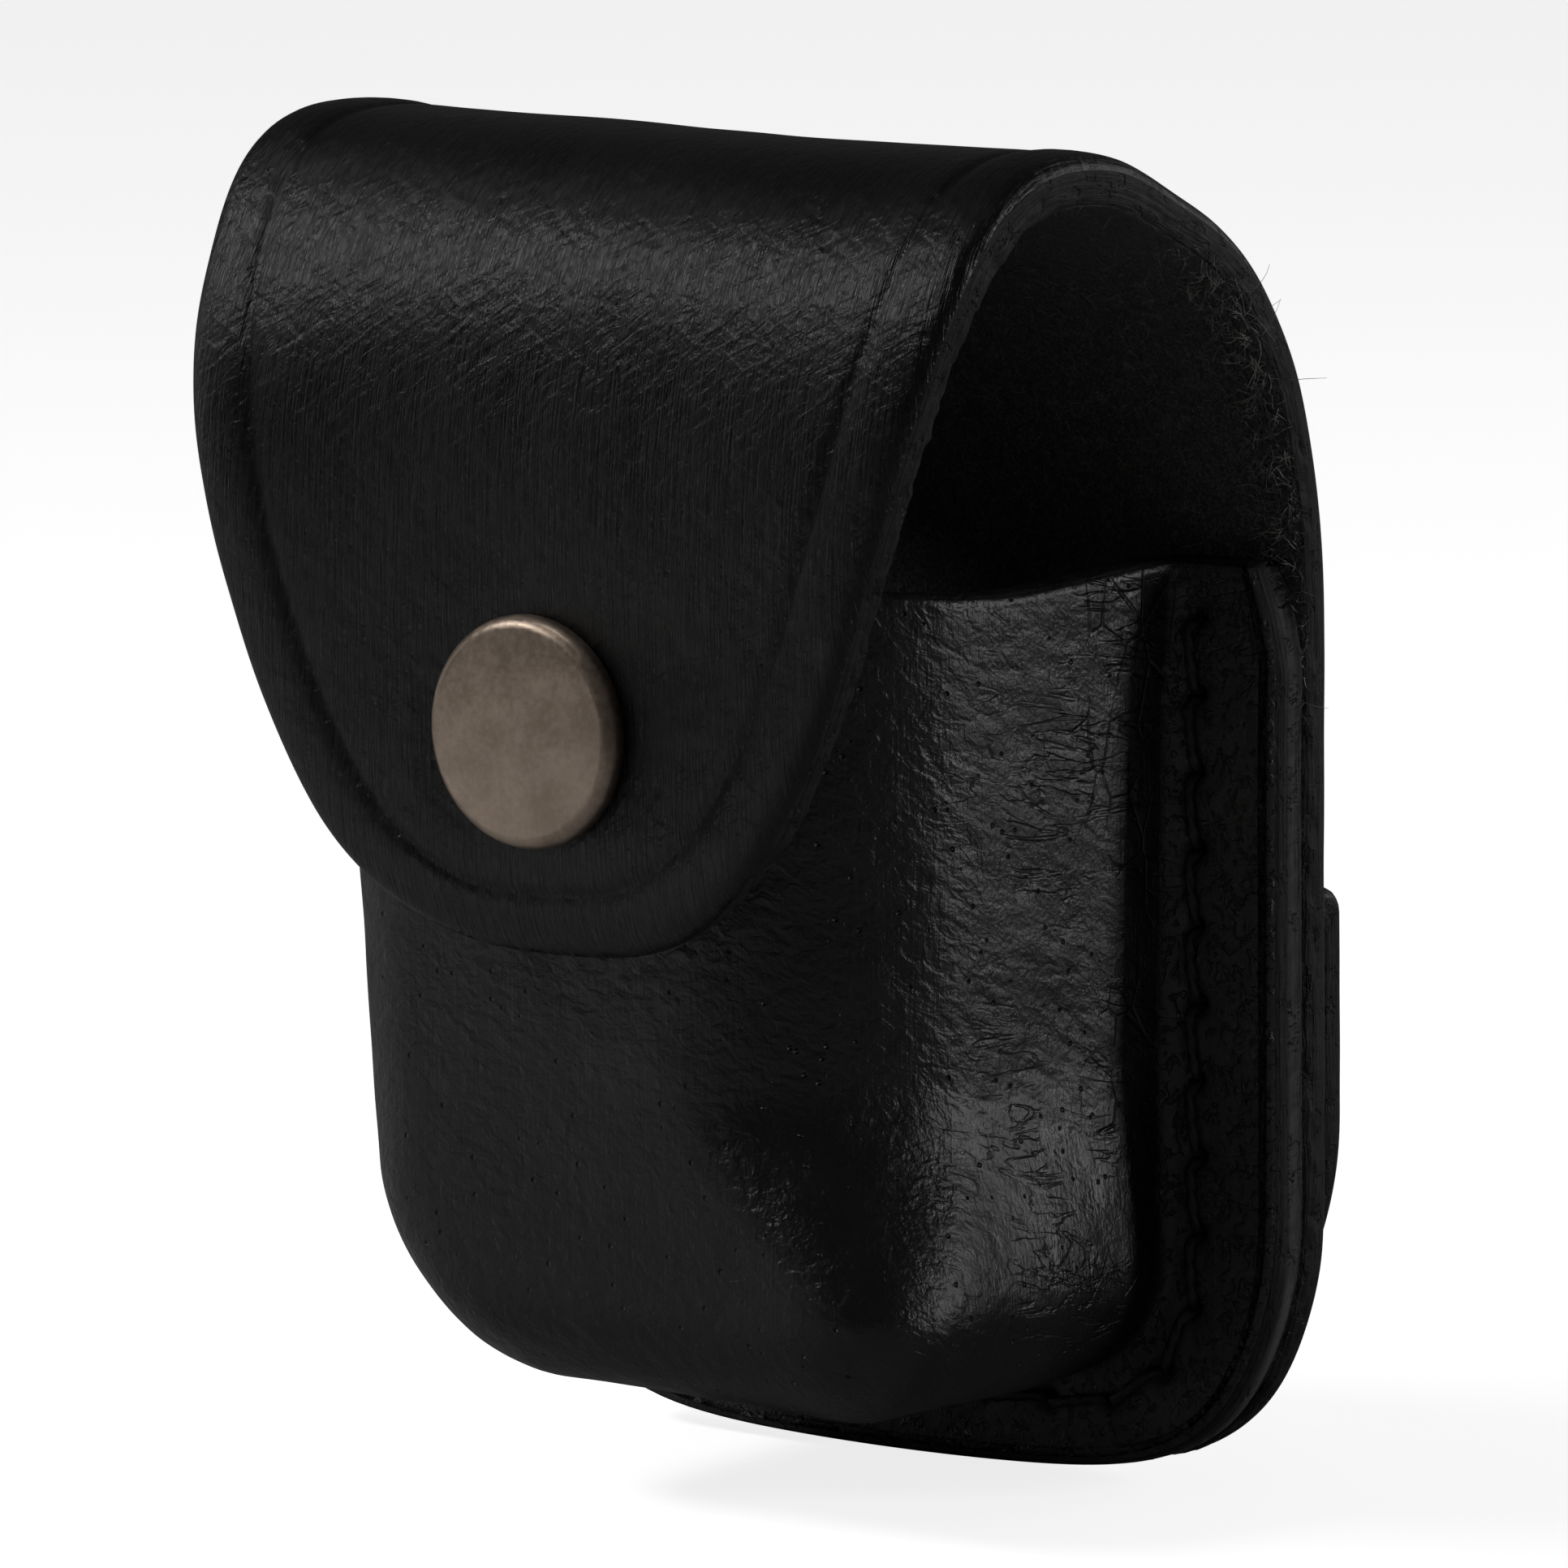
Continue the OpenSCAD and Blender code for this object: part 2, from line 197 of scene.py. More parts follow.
class Skin:
    """Collects points and quads and makes one mesh of them. Each face has a zone, which is its
    material, and each of its corners a flat coordinate."""

    def __init__(self):
        self.points, self.faces, self.flats, self.zones = [], [], [], []
        self.count = 0

    def add(self, points):
        """Adds points of shape (..., 3) and returns their numbers in the same shape."""
        points = np.asarray(points, float)
        shape = points.shape[:-1]
        index = np.arange(self.count, self.count + int(np.prod(shape))).reshape(shape)
        self.points.append(points.reshape(-1, 3))
        self.count += index.size
        return index

    def quads(self, index, flat, zone=0):
        """Joins a grid of point numbers into quads. flat holds each corner's flat coordinate."""
        parts = (slice(None, -1), slice(1, None))
        order = [(0, 0), (0, 1), (1, 1), (1, 0)]
        faces = np.stack([index[parts[r], parts[c]] for r, c in order], axis=-1)
        flats = np.stack([flat[parts[r], parts[c]] for r, c in order], axis=-2)
        self.faces.append(faces.reshape(-1, 4))
        self.flats.append(flats.reshape(-1, 4, 2))
        self.zones.append(np.full(faces.size // 4, zone))

    def build(self, name, materials, marks=None):
        """Makes the mesh object. marks holds named numbers for each point, which materials read."""
        points = np.concatenate(self.points) * MM
        faces = np.concatenate(self.faces)
        mesh = bpy.data.meshes.new(name)
        mesh.from_pydata(points.tolist(), [], faces.tolist())
        layer = mesh.uv_layers.new(name="flat")
        layer.data.foreach_set("uv", np.concatenate(self.flats).ravel() * MM * FLAT_SCALE)
        mesh.polygons.foreach_set("material_index", np.concatenate(self.zones).astype(np.int32))
        for key, values in (marks or {}).items():
            layer = mesh.attributes.new(key, "FLOAT", "POINT")
            layer.data.foreach_set("value", values.astype(np.float32))
        for material in materials:
            mesh.materials.append(material)
        edit_mesh(mesh, lambda work: bmesh.ops.recalc_face_normals(work, faces=work.faces))
        mesh.polygons.foreach_set("use_smooth", np.ones(len(mesh.polygons), bool))
        return add_object(name, mesh)


FLAT_SCALE = 100.0          # the flat coordinate is in units of 10 mm

# ---- materials


class Nodes:
    """The node tree of a material or world, with short calls for the nodes used here."""

    def __init__(self, owner):
        owner.use_nodes = True
        self.owner = owner
        self.tree = owner.node_tree

    def put(self, kind, inputs=None, **settings):
        node = self.tree.nodes.new(kind)
        for key, value in settings.items():
            setattr(node, key, value)
        for key, value in (inputs or {}).items():
            self.set(node.inputs[key], value)
        return node

    def set(self, socket, value):
        if isinstance(value, bpy.types.NodeSocket):
            self.tree.links.new(value, socket)
        else:
            socket.default_value = value

    def flat(self, scale, turn=0.0):
        """The flat coordinate in cells per 10 mm, after a turn in degrees."""
        uv = self.put("ShaderNodeUVMap", uv_map="flat").outputs[0]
        if turn:
            angles = (0, 0, math.radians(turn))
            uv = self.put("ShaderNodeMapping", {"Vector": uv, "Rotation": angles}).outputs[0]
        return self.put("ShaderNodeMapping", {"Vector": uv, "Scale": scale}).outputs[0]

    def solid(self, scale, turn=0.0):
        """The object's own coordinate in cells per 10 mm, after a turn about x in degrees."""
        place = self.put("ShaderNodeTexCoord").outputs["Object"]
        if turn:
            angles = (math.radians(turn), 0, 0)
            place = self.put("ShaderNodeMapping", {"Vector": place, "Rotation": angles}).outputs[0]
        size = [s * FLAT_SCALE for s in scale]
        return self.put("ShaderNodeMapping", {"Vector": place, "Scale": size}).outputs[0]

    def noise(self, vector, detail=3.0, rough=0.55, distort=0.0):
        inputs = {"Vector": vector, "Scale": 1.0, "Detail": detail, "Roughness": rough}
        inputs["Distortion"] = distort
        return self.put("ShaderNodeTexNoise", inputs).outputs["Fac"]

    def cells(self, vector, feature="F1"):
        node = self.put("ShaderNodeTexVoronoi", {"Vector": vector, "Scale": 1.0}, feature=feature)
        return node.outputs["Distance"]

    def math(self, operation, a, b=0.0):
        return self.put("ShaderNodeMath", {0: a, 1: b}, operation=operation).outputs[0]

    def plus(self, a, b):
        return self.math("ADD", a, b)

    def minus(self, a, b):
        return self.math("SUBTRACT", a, b)

    def times(self, a, b):
        return self.math("MULTIPLY", a, b)

    def ramp(self, value, low, high, out_low=0.0, out_high=1.0):
        """A soft step of value between low and high."""
        inputs = {"Value": value, "From Min": low, "From Max": high}
        inputs |= {"To Min": out_low, "To Max": out_high}
        node = self.put("ShaderNodeMapRange", inputs, interpolation_type="SMOOTHSTEP")
        return node.outputs[0]

    def mark(self, name):
        """A number that the mesh carries for each point."""
        return self.put("ShaderNodeAttribute", attribute_name=name).outputs["Fac"]

    def colours(self, share, first, second):
        """A mix of two colours."""
        inputs = {"Factor": share, 6: (*first, 1), 7: (*second, 1)}
        return self.put("ShaderNodeMix", inputs, data_type="RGBA").outputs[2]

    def by_ray(self, output, camera, others):
        """Shows the camera one shader and every other ray another."""
        seen = self.put("ShaderNodeLightPath").outputs["Is Camera Ray"]
        mix = self.put("ShaderNodeMixShader", {0: seen, 1: others, 2: camera})
        self.set(self.tree.nodes[output].inputs[0], mix.outputs[0])

    def finish(self, colour, rough, heights, **more):
        """Sets the shader up and returns the material. colour is (share, first, second), heights is
        a list of (height socket, size in millimetres) and more has other inputs by name."""
        shader = self.tree.nodes["Principled BSDF"].inputs
        self.set(shader["Base Color"], self.colours(*colour))
        self.set(shader["Roughness"], rough)
        for key, value in more.items():
            shader[key.replace("_", " ")].default_value = value
        normal = None
        for height, size in heights:
            inputs = {"Height": height, "Distance": size * MM, "Strength": 1.0}
            if normal is not None:
                inputs["Normal"] = normal
            normal = self.put("ShaderNodeBump", inputs).outputs[0]
        self.set(shader["Normal"], normal)
        return self.owner


def grain_material():
    """Waxed black leather: a fine grain brushed along the fold, with soft slanting wrinkles."""
    n = Nodes(bpy.data.materials.new("leather_grain"))
    cloudy = n.noise(n.flat((0.9, 0.7, 1)), 4)
    fine = n.noise(n.flat((36, 26, 1)), 4, 0.62)
    hairline = n.noise(n.flat((64, 2.4, 1)), 3, 0.6)
    streak = n.noise(n.flat((24, 1.3, 1)), 2, 0.5, 0.4)
    wrinkle = n.noise(n.flat((4, 13, 1), 38), 3, 0.55, 0.8)
    crossed = n.noise(n.flat((3, 9, 1), -30), 2, 0.5, 0.6)
    pores = n.ramp(n.cells(n.flat((7, 5, 1))), 0.02, 0.1)
    tone = n.plus(n.times(cloudy, 0.6), n.times(streak, 0.4))
    dark, worn = (0.0042, 0.0041, 0.0042), (0.0095, 0.0091, 0.0091)
    rough = n.plus(n.ramp(cloudy, 0.3, 0.7, 0.22, 0.29), n.ramp(hairline, 0.35, 0.7, -0.04, 0.12))
    heights = [
        (cloudy, 0.3), (wrinkle, 0.13), (crossed, 0.1), (fine, 0.05),
        (hairline, 0.1), (streak, 0.06), (pores, 0.02),
    ]
    colour = n.ramp(tone, 0.35, 0.65), dark, worn
    return n.finish(colour, rough, heights, Specular_IOR_Level=0.34)


def pocket_material():
    """Moulded black leather: pebbled and pored, stretched and creased on the side walls, cracked
    by the fold and blotched with wax on the flange, whose colour is lifted with painted fill light."""
    n = Nodes(bpy.data.materials.new("leather_moulded"))
    wall, fold, flange = n.mark("wall"), n.mark("fold"), n.mark("flange")
    cloudy = n.noise(n.solid((0.8, 0.8, 0.8)), 4)
    warp = n.noise(n.solid((3, 3, 3)), 3)
    pebble = n.times(n.noise(n.solid((9, 7, 13), 35), 3, 0.5, 0.5), n.ramp(wall, 0, 1, 1, 0.45))
    lumps = n.cells(n.solid((7, 4.5, 9), 30), "SMOOTH_F1")
    lumps = n.times(lumps, n.ramp(wall, 0, 1, 0.35, 1))
    fine = n.noise(n.solid((34, 34, 34)), 4, 0.6)
    pores = n.ramp(n.cells(n.solid((6.2, 6.2, 6.6))), 0.03, 0.13)
    pores = n.times(pores, n.ramp(wall, 0, 1, 1, 0.3))
    folds = n.noise(n.solid((1.2, 1.0, 4.6), 8), 3, 0.5, 1.2)
    ridges = n.ramp(n.math("ABSOLUTE", n.minus(folds, 0.5)), 0.0, 0.035)
    cracks = n.ramp(n.cells(n.solid((3.4, 3.6, 2.2)), "DISTANCE_TO_EDGE"), 0.0, 0.045)
    brushed = n.noise(n.solid((46, 40, 2.2)), 2)
    wax = n.ramp(n.noise(n.solid((13, 13, 9), 20), 3, 0.6, 1.0), 0.52, 0.66)
    matte = n.times(n.minus(1.0, wax), flange)
    # painted fill light: the flange share lifts the colour towards the pale second colour, standing
    # in for light that the pocket's walls keep off the flange; the cloudy share is the leather's
    # own uneven tone
    paler = n.plus(n.times(n.ramp(cloudy, 0.35, 0.65), 0.11), n.times(flange, 0.8))
    colour = paler, (0.0042, 0.0041, 0.0041), (0.05, 0.0485, 0.047)
    rough = n.plus(n.ramp(warp, 0.3, 0.7, 0.28, 0.38), n.times(matte, 0.25))
    patchy = n.ramp(n.noise(n.solid((1.5, 1.5, 1.1)), 2), 0.46, 0.6)
    crease = n.times(n.times(n.minus(ridges, 1.0), wall), patchy)
    crack = n.times(n.times(n.minus(cracks, 1.0), fold), patchy)
    daub = n.times(wax, flange)
    return n.finish(colour, rough, [
        (cloudy, 0.35), (warp, 0.12), (lumps, 0.085), (pebble, 0.2), (pores, 0.55),
        (crease, 0.07), (crack, 0.07), (brushed, 0.035), (daub, 0.3), (fine, 0.05),
    ])


def edge_material():
    """Cut edge of the leather, dyed and rubbed: matte, with fibrous layers along its length."""
    n = Nodes(bpy.data.materials.new("leather_edge"))
    layers = n.noise(n.flat((0.8, 30, 1)), 4, 0.65, 0.4)
    fibres = n.noise(n.flat((5, 46, 1)), 3, 0.6, 0.5)
    across = n.noise(n.flat((9, 2.2, 1)), 3, 0.6)
    pits = n.ramp(n.noise(n.flat((6, 9, 1)), 3, 0.6), 0.36, 0.46)
    worn = n.plus(n.times(layers, 0.6), n.times(across, 0.4))
    colour = n.ramp(worn, 0.38, 0.62), (0.0055, 0.0053, 0.0051), (0.021, 0.0204, 0.0198)
    heights = [(pits, 0.16), (layers, 0.3), (across, 0.12), (fibres, 0.12)]
    rough = n.ramp(across, 0.3, 0.7, 0.5, 0.68)
    return n.finish(colour, rough, heights, Specular_IOR_Level=0.3)


def flesh_material():
    """The napped inner side: matte, hairy and very dark."""
    n = Nodes(bpy.data.materials.new("leather_flesh"))
    tufts = n.noise(n.solid((9, 9, 9)), 5, 0.7, 1.6)
    nap = n.noise(n.solid((30, 30, 22)), 4, 0.7, 2.2)
    colour = n.ramp(nap, 0.42, 0.66), (0.03, 0.0295, 0.029), (0.26, 0.255, 0.25)
    soft = {"Specular_IOR_Level": 0.3, "Sheen_Weight": 0.2, "Sheen_Roughness": 0.5}
    return n.finish(colour, 0.9, [(tufts, 0.6), (nap, 0.4)], **soft)


def thread_material():
    """Waxed black thread, laid in three strands."""
    n = Nodes(bpy.data.materials.new("waxed_thread"))
    lint = n.noise(n.solid((40, 40, 40)), 3, 0.6)
    colour = n.ramp(lint, 0.35, 0.7), (0.006, 0.006, 0.006), (0.017, 0.0165, 0.016)
    return n.finish(colour, n.ramp(lint, 0.3, 0.7, 0.45, 0.65), [(lint, 0.06)])


def brass_material(name, dark, light, scratched):
    """Antique brass: a brown patina over brass, rubbed bright where it is handled."""
    n = Nodes(bpy.data.materials.new(name))
    patina = n.noise(n.solid((3.2, 3.2, 3.2)), 5, 0.65)
    specks = n.noise(n.solid((22, 22, 22)), 4, 0.7)
    scratch_a = n.noise(n.solid((2.2, 8, 62)), 2, 0.6, 0.6)
    scratch_b = n.noise(n.solid((48, 8, 3.5)), 2, 0.6, 0.6)
    scratches = n.times(n.plus(scratch_a, scratch_b), 0.5)
    tone = n.plus(n.times(patina, 0.55), n.times(specks, 0.45))
    rough = n.plus(n.ramp(specks, 0.3, 0.7, 0.31, 0.45), n.ramp(scratches, 0.4, 0.65, 0, 0.07))
    heights = [(scratches, 0.012 * scratched), (specks, 0.012), (patina, 0.02)]
    return n.finish((n.ramp(tone, 0.36, 0.66), dark, light), rough, heights, Metallic=1.0)


def wire_material():
    """Bright spring wire."""
    n = Nodes(bpy.data.materials.new("spring_wire"))
    drawn = n.noise(n.solid((30, 30, 30)), 3)
    colour = n.ramp(drawn, 0.3, 0.7), (0.3, 0.28, 0.25), (0.5, 0.48, 0.44)
    return n.finish(colour, 0.3, [(drawn, 0.01)], Metallic=1.0)


GRAIN = grain_material()
MOULDED = pocket_material()
EDGE = edge_material()
FLESH = flesh_material()
THREAD = thread_material()
CAP_BRASS = brass_material("cap_brass", (0.3, 0.234, 0.18), (0.49, 0.392, 0.316), 1.0)
STUD_BRASS = brass_material("stud_brass", (0.15, 0.105, 0.065), (0.32, 0.24, 0.155), 0.6)
WIRE = wire_material()

# ---- a cut sheet of leather

GRAIN_ZONE, EDGE_ZONE, FLESH_ZONE = 0, 1, 2
EDGE_FLAT = 50              # where the cut edges start in the flat coordinate
RAGGED_DEPTH = 0.4          # share of a ragged corner's unevenness that goes into its depth


def four_edges(half, end_count, side_count):
    """Splits an outline into bottom, right, top and left edges where it turns past 45 degrees.
    half is its right half as (x, s), from the middle of the bottom to the middle of the top."""
    half = resample(half, 1200)
    step = np.abs(np.diff(half, axis=0))
    upright = np.flatnonzero(step[:, 1] > step[:, 0])
    a, b = upright[0], upright[-1] + 1
    flip = np.array([-1, 1])
    bottom = resample(np.vstack([half[: a + 1][::-1] * flip, half[1 : a + 1]]), end_count)
    top = resample(np.vstack([half[b:] * flip, half[b:][::-1][1:]]), end_count)
    right = resample(half[a : b + 1], side_count)
    return bottom, right, top, right * flip


def loop_of(bottom, right, top, left):
    """The four edges as one closed loop, anticlockwise from the bottom left corner."""
    return np.vstack([bottom[:-1], right[:-1], top[::-1][:-1], left[::-1][:-1]])


def edges_of(loop, end_count, side_count):
    """The closed loop's four edges again, as loop_of was given them."""
    closed = np.concatenate([loop, loop[:1]])
    e, s = end_count, side_count
    bottom, right = closed[: e + 1], closed[e : e + s + 1]
    top, left = closed[e + s : 2 * e + s + 1][::-1], closed[2 * e + s :][::-1]
    return bottom, right, top, left


def leather_sheet(name, section, half, rings, counts, relief, shift=None, ragged=0.0):
    """A sheet cut to an outline and bent to a section.

    section(s, depth) gives (y, z) at a distance s along the sheet and a depth below its grain face.
    rings are (inset, depth, zone), from the grain side round the cut edge to the flesh side.
    relief(x, s) is how far the grain face stands out. shift(x, s) moves both faces sideways
    and outwards. ragged roughens the flesh corner."""
    end_count, side_count = counts
    loop = loop_of(*four_edges(half, end_count, side_count))
    inward = normals_2d(loop, True)
    around = lengths(np.vstack([loop, loop[:1]]))
    skin = Skin()
    placed, flats = [], []

    def place(flat, depth, lift):
        aside, out = shift(flat[..., 0], flat[..., 1]) if shift else (0, 0)
        yz = section(flat[..., 1], depth - lift - out)
        return np.concatenate([(flat[..., 0] + aside)[..., None], yz], axis=-1)

    thickness = max(depth for _, depth, _ in rings)
    for inset, depth, zone in rings:
        flat = loop + inset * inward
        share = 1 - smooth(depth / (0.5 * thickness))
        lift = relief(flat[:, 0], flat[:, 1]) * share
        jitter = np.zeros(len(loop))
        if ragged and depth > 0.6 * thickness and inset < 1.2:
            spots = np.c_[around[:-1], np.full(len(loop), depth)]
            jitter = ragged * (wander(spots, 1.1, 3.7) + 0.7 * wander(spots, 0.45, 8.1))
        uneven = 0.06 * wander(np.c_[around[:-1], np.zeros(len(loop))], 6, 2.2)
        flat = flat + (jitter + uneven)[:, None] * inward
        placed.append(skin.add(place(flat, depth, lift + RAGGED_DEPTH * jitter)))
        flats.append(flat)
    closed = [np.r_[p, p[:1]] for p in placed]
    for k in range(len(rings) - 1):
        zone = rings[k + 1][2]
        if zone == EDGE_ZONE:
            flat = flat_grid([EDGE_FLAT + rings[j][1] for j in (k, k + 1)], around)
        else:
            flat = np.stack([np.vstack([flats[j], flats[j][:1]]) for j in (k, k + 1)])
        skin.quads(np.stack([closed[k], closed[k + 1]]), flat, zone)
    for ring, zone in ((0, GRAIN_ZONE), (-1, FLESH_ZONE)):
        depth = rings[ring][1]
        grid = coons(*edges_of(flats[ring], end_count, side_count))
        index = np.zeros(grid.shape[:2], int)
        bottom, right, top, left = edges_of(placed[ring], end_count, side_count)
        index[0], index[-1], index[:, 0], index[:, -1] = bottom, top, left, right
        inner = grid[1:-1, 1:-1]
        lift = np.zeros(inner.shape[:2])
        if zone == GRAIN_ZONE:
            lift = relief(inner[..., 0], inner[..., 1])
        index[1:-1, 1:-1] = skin.add(place(inner, depth, lift))
        skin.quads(index, grid, zone)
    return skin.build(name, [GRAIN, EDGE, FLESH])


def sampled_section(outer, inner, thickness):
    """section(s, depth) for a sheet whose two faces are matching polylines of (y, z)."""
    along = lengths(outer)

    def section(s, depth):
        out = np.stack([np.interp(s, along, outer[:, k]) for k in (0, 1)], axis=-1)
        inn = np.stack([np.interp(s, along, inner[:, k]) for k in (0, 1)], axis=-1)
        share = np.asarray(depth / thickness)
        return out + (inn - out) * (share[..., None] if share.ndim else share)

    return section, along


# ---- back panel and flap

CORNER_H = 15.0             # height of the round bottom corners
BOTTOM_BOW = 1.8            # rise of the bottom edge towards its corners
CORNER_SHARPNESS = 6
ARCH_REAR_Z = BOTTOM + 57
ARCH_FRONT_Z = BOTTOM + 59.5
ARCH_REAR_N = 2.1
ARCH_FRONT_N = 2.54
CURL_START_Z = BOTTOM + 46
TIP_CURL = 2.2
TAPER_U, TAPER_W = 1.45, 2.75
CREASE_INSET = 4.9          # the embossed line's distance from the cut edge
FOLD_TILT = 1.05            # how much higher the arch stands at its left end
FLAP_SPREAD = 0.55          # how far the flap's left edge stands out sideways
PANEL_SPREAD = 0.75         # how far the back panel's right edge does
SHOULDER_DROP = 0.95        # dip of the left end, in front of the arch
HAUNCH_SWELL, HAUNCH_DIP = 0.4, 0.8     # the right end, low behind the arch and near its top


def bottom_edge(x):
    """Height of the bottom edge above BOTTOM, at a distance x from the middle."""
    u = np.minimum(1, np.abs(x) / HALF_W)
    return CORNER_H * (1 - np.sqrt(1 - u**CORNER_SHARPNESS)) + BOTTOM_BOW * u * u


def quarter(power, steps=90):
    """Cosine and sine factors of a quarter superellipse."""
    a = np.radians(np.linspace(0, 90, steps))
    return np.clip(np.cos(a), 0, 1) ** (2 / power), np.sin(a) ** (2 / power)


def body_faces():
    """The outer and inner faces of the folded sheet, from the bottom edge to the flap's tip."""
    c, s = quarter(ARCH_REAR_N)
    rear = np.c_[APEX_Y * (1 - c), ARCH_REAR_Z + (TOP - ARCH_REAR_Z) * s]
    c, s = quarter(ARCH_FRONT_N)
    front = np.c_[APEX_Y + (FLAP_Y - APEX_Y) * s, ARCH_FRONT_Z + (TOP - ARCH_FRONT_Z) * c]
    u = np.linspace(0, 1, 40)
    curl = np.c_[FLAP_Y + TIP_CURL * u * u, CURL_START_Z + (TIP_Z - CURL_START_Z) * u]
    path = np.vstack([[[0, BOTTOM]], rear, front[1:], curl])
    outer = resample(path, 900)
    for _ in range(12):
        outer[1:-1] = (outer[:-2] + outer[1:-1] * 2 + outer[2:]) / 4
    return outer, outer + LEATHER_T * normals_2d(outer, False)


outer_face, inner_face = body_faces()
body_section, body_along = sampled_section(outer_face, inner_face, LEATHER_T)
APEX_S = body_along[np.argmax(outer_face[:, 1])]
SNAP_S = body_along[-1] - (SNAP_Z - TIP_Z)


def body_half_outline():
    """Right half of the cut sheet as (x, s), from its bottom edge to the flap's tip."""
    x = HALF_W * np.sin(np.radians(np.linspace(0, 90, 120)))
    low = np.c_[x, bottom_edge(x)]
    z = TOP - (TOP - TIP_Z) * np.sin(np.radians(np.linspace(0, 90, 240))) ** 1.5
    u = (TOP - z) / (TOP - TIP_Z)
    half = HALF_W * np.clip(1 - u**TAPER_U, 0, 1) ** (1 / TAPER_W)
    front = body_along >= APEX_S
    s = np.interp(-z, -outer_face[front, 1], body_along[front])
    return np.vstack([low, np.c_[half, s]])


def body_relief(x, s):
    """Small unevenness of the folded sheet's grain face, in millimetres outwards."""
    spots = np.stack([x, s], axis=-1)
    lift = 0.16 * wander(spots, 17, 1.3) + 0.06 * wander(spots, 6, 4.4)
    flare = 0.35 * (np.abs(x) / HALF_W) ** 3 * hump(s - APEX_S, 22)
    seat = np.hypot(x, s - SNAP_S)
    pressed = 0.12 * np.exp(-((seat / (CAP_R + 1.2)) ** 8))
    return (lift + flare) * smooth((seat - CAP_R) / 4) - pressed


def body_shift(x, s):
    """How the hand-folded flap strays from a true fold, as (sideways, outwards) in millimetres:
    the arch stands a little higher towards its left side, and the flap spreads there."""
    over = smooth((s - APEX_S + 30) / 22)
    front = smooth((s - APEX_S - 16) / 22)
    left = np.clip(-x / HALF_W, 0, 1)
    tilt = 0.5 * FOLD_TILT * (1 - x / HALF_W)
    spread = FOLD_TILT * left**1.3
    shoulder = -SHOULDER_DROP * left**1.5 * hump(s - APEX_S - 15, 7)
    haunch = HAUNCH_SWELL * hump(s - APEX_S + 28, 8) - HAUNCH_DIP * hump(s - APEX_S + 11, 6)
    shoulder = shoulder + haunch * smooth(x / HALF_W + 0.3)
    widen = PANEL_SPREAD * np.clip(x / HALF_W, 0, 1) ** 2 * smooth((s - 6) / 14) * (1 - front)
    outwards = shoulder + over * (tilt * (1 - front) + spread * front)
    return widen - FLAP_SPREAD * left * front, outwards


BODY_RINGS = [
    (8.0, 0, 0), (6.6, 0, 0), (5.9, 0.01, 0), (5.5, 0.05, 0), (5.2, 0.14, 0),
    (CREASE_INSET, 0.3, 0), (4.65, 0.17, 0), (4.35, 0.03, 0), (4.0, -0.05, 0),
    (3.4, -0.1, 0), (2.6, -0.08, 0), (1.9, -0.02, 0), (1.4, 0.05, 0), (1.0, 0.13, 0),
    (0.68, 0.26, 0), (0.4, 0.44, 0), (0.2, 0.66, 0), (0.07, 0.9, 0), (0, 1.15, 1),
    (-0.04, 1.4, 1), (-0.06, 1.7, 1), (-0.05, 2.0, 1), (-0.02, 2.3, 1), (0.02, 2.55, 1),
    (0.1, 2.78, 1), (0.25, 2.95, 1), (0.5, 3.06, 2), (0.9, 3.1, 2), (1.6, 3.1, 2),
    (3, 3.1, 2), (8, 3.1, 2),
]


def build_body():
    """The back panel, arch and flap, cut and folded from one piece."""
    body = leather_sheet(
        "leather_body", body_section, body_half_outline(), BODY_RINGS, (86, 250),
        body_relief, body_shift, ragged=0.22,
    )
    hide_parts("back_panel", "flap")
    return body


# ---- moulded pocket

POCKET_HALF_W = 22.8
POCKET_TAPER = 0.02         # how much the pocket widens for each millimetre of height
POCKET_FLOOR = BOTTOM + 7.3
FOOT_R = (14.0, 8.2)        # corner radius of the pocket's foot, left and right
FRONT_R = 7.4               # radius where the walls turn into the front
FIRM_FILLET, SOFT_FILLET = 0.8, 1.1     # radii where the walls rise from the flange
RIGHT_DRAFT = 0.20          # how much the right wall leans in for each millimetre forward
SOFT_CORNER = (13.0, 15.0)  # width and depth of the softer bend into the right wall
WALL_BULGE = 0.5            # how far the walls swell between the flange and the front
WALL_SPREAD = 0.3           # how much further out they end than they start
POCKET_T = 3.2
DENT_DEPTH, DENT_R = 1.15, 0.62         # the hole that a stitch pulls into the flange
PUCKER_DEPTH = 0.22         # the shallow dip round that hole
RIM_DIP = 1.0               # how far the rim dips in the middle of a wall's depth
RIM_FLARE = 0.35            # how far the walls open at the rim
LEFT_LEAN = 0.062           # how much the left wall leans out for each millimetre of height
TAB_SLANT = 2.0             # how far the flange's right end draws in at its top
FLOOR_RISE = 1.25           # how far the floor's front rises on the left
# the flange's rounded cut edge, as (distance in from the edge, depth below the face)
EDGE_ROUND = [
    (1.35, 0.0), (0.95, 0.05), (0.62, 0.16), (0.36, 0.34), (0.16, 0.6), (0.04, 0.95), (0, 1.3)
]


def pocket_foot(radius):
    """Half of the pocket's foot on the flange as (x, z) with its outward normals, from the middle
    of the floor round a corner of the given radius to the rim."""
    side = POCKET_HALF_W
    floor = np.c_[np.linspace(0, side - radius, 28), np.full(28, POCKET_FLOOR)]
    bend = arc((side - radius, POCKET_FLOOR + radius), radius, -90, 0, 30)
    wall = np.c_[np.full(100, side), np.linspace(POCKET_FLOOR + radius, RIM_Z, 100)]
    half = np.vstack([floor, bend[1:], wall[1:]])
    normal = -normals_2d(half, False)
    normal[0] = (0, -1)
    half[:, 0] += POCKET_TAPER * (half[:, 1] - (BOTTOM + 36)) * (half[:, 0] / side)
    return half, normal


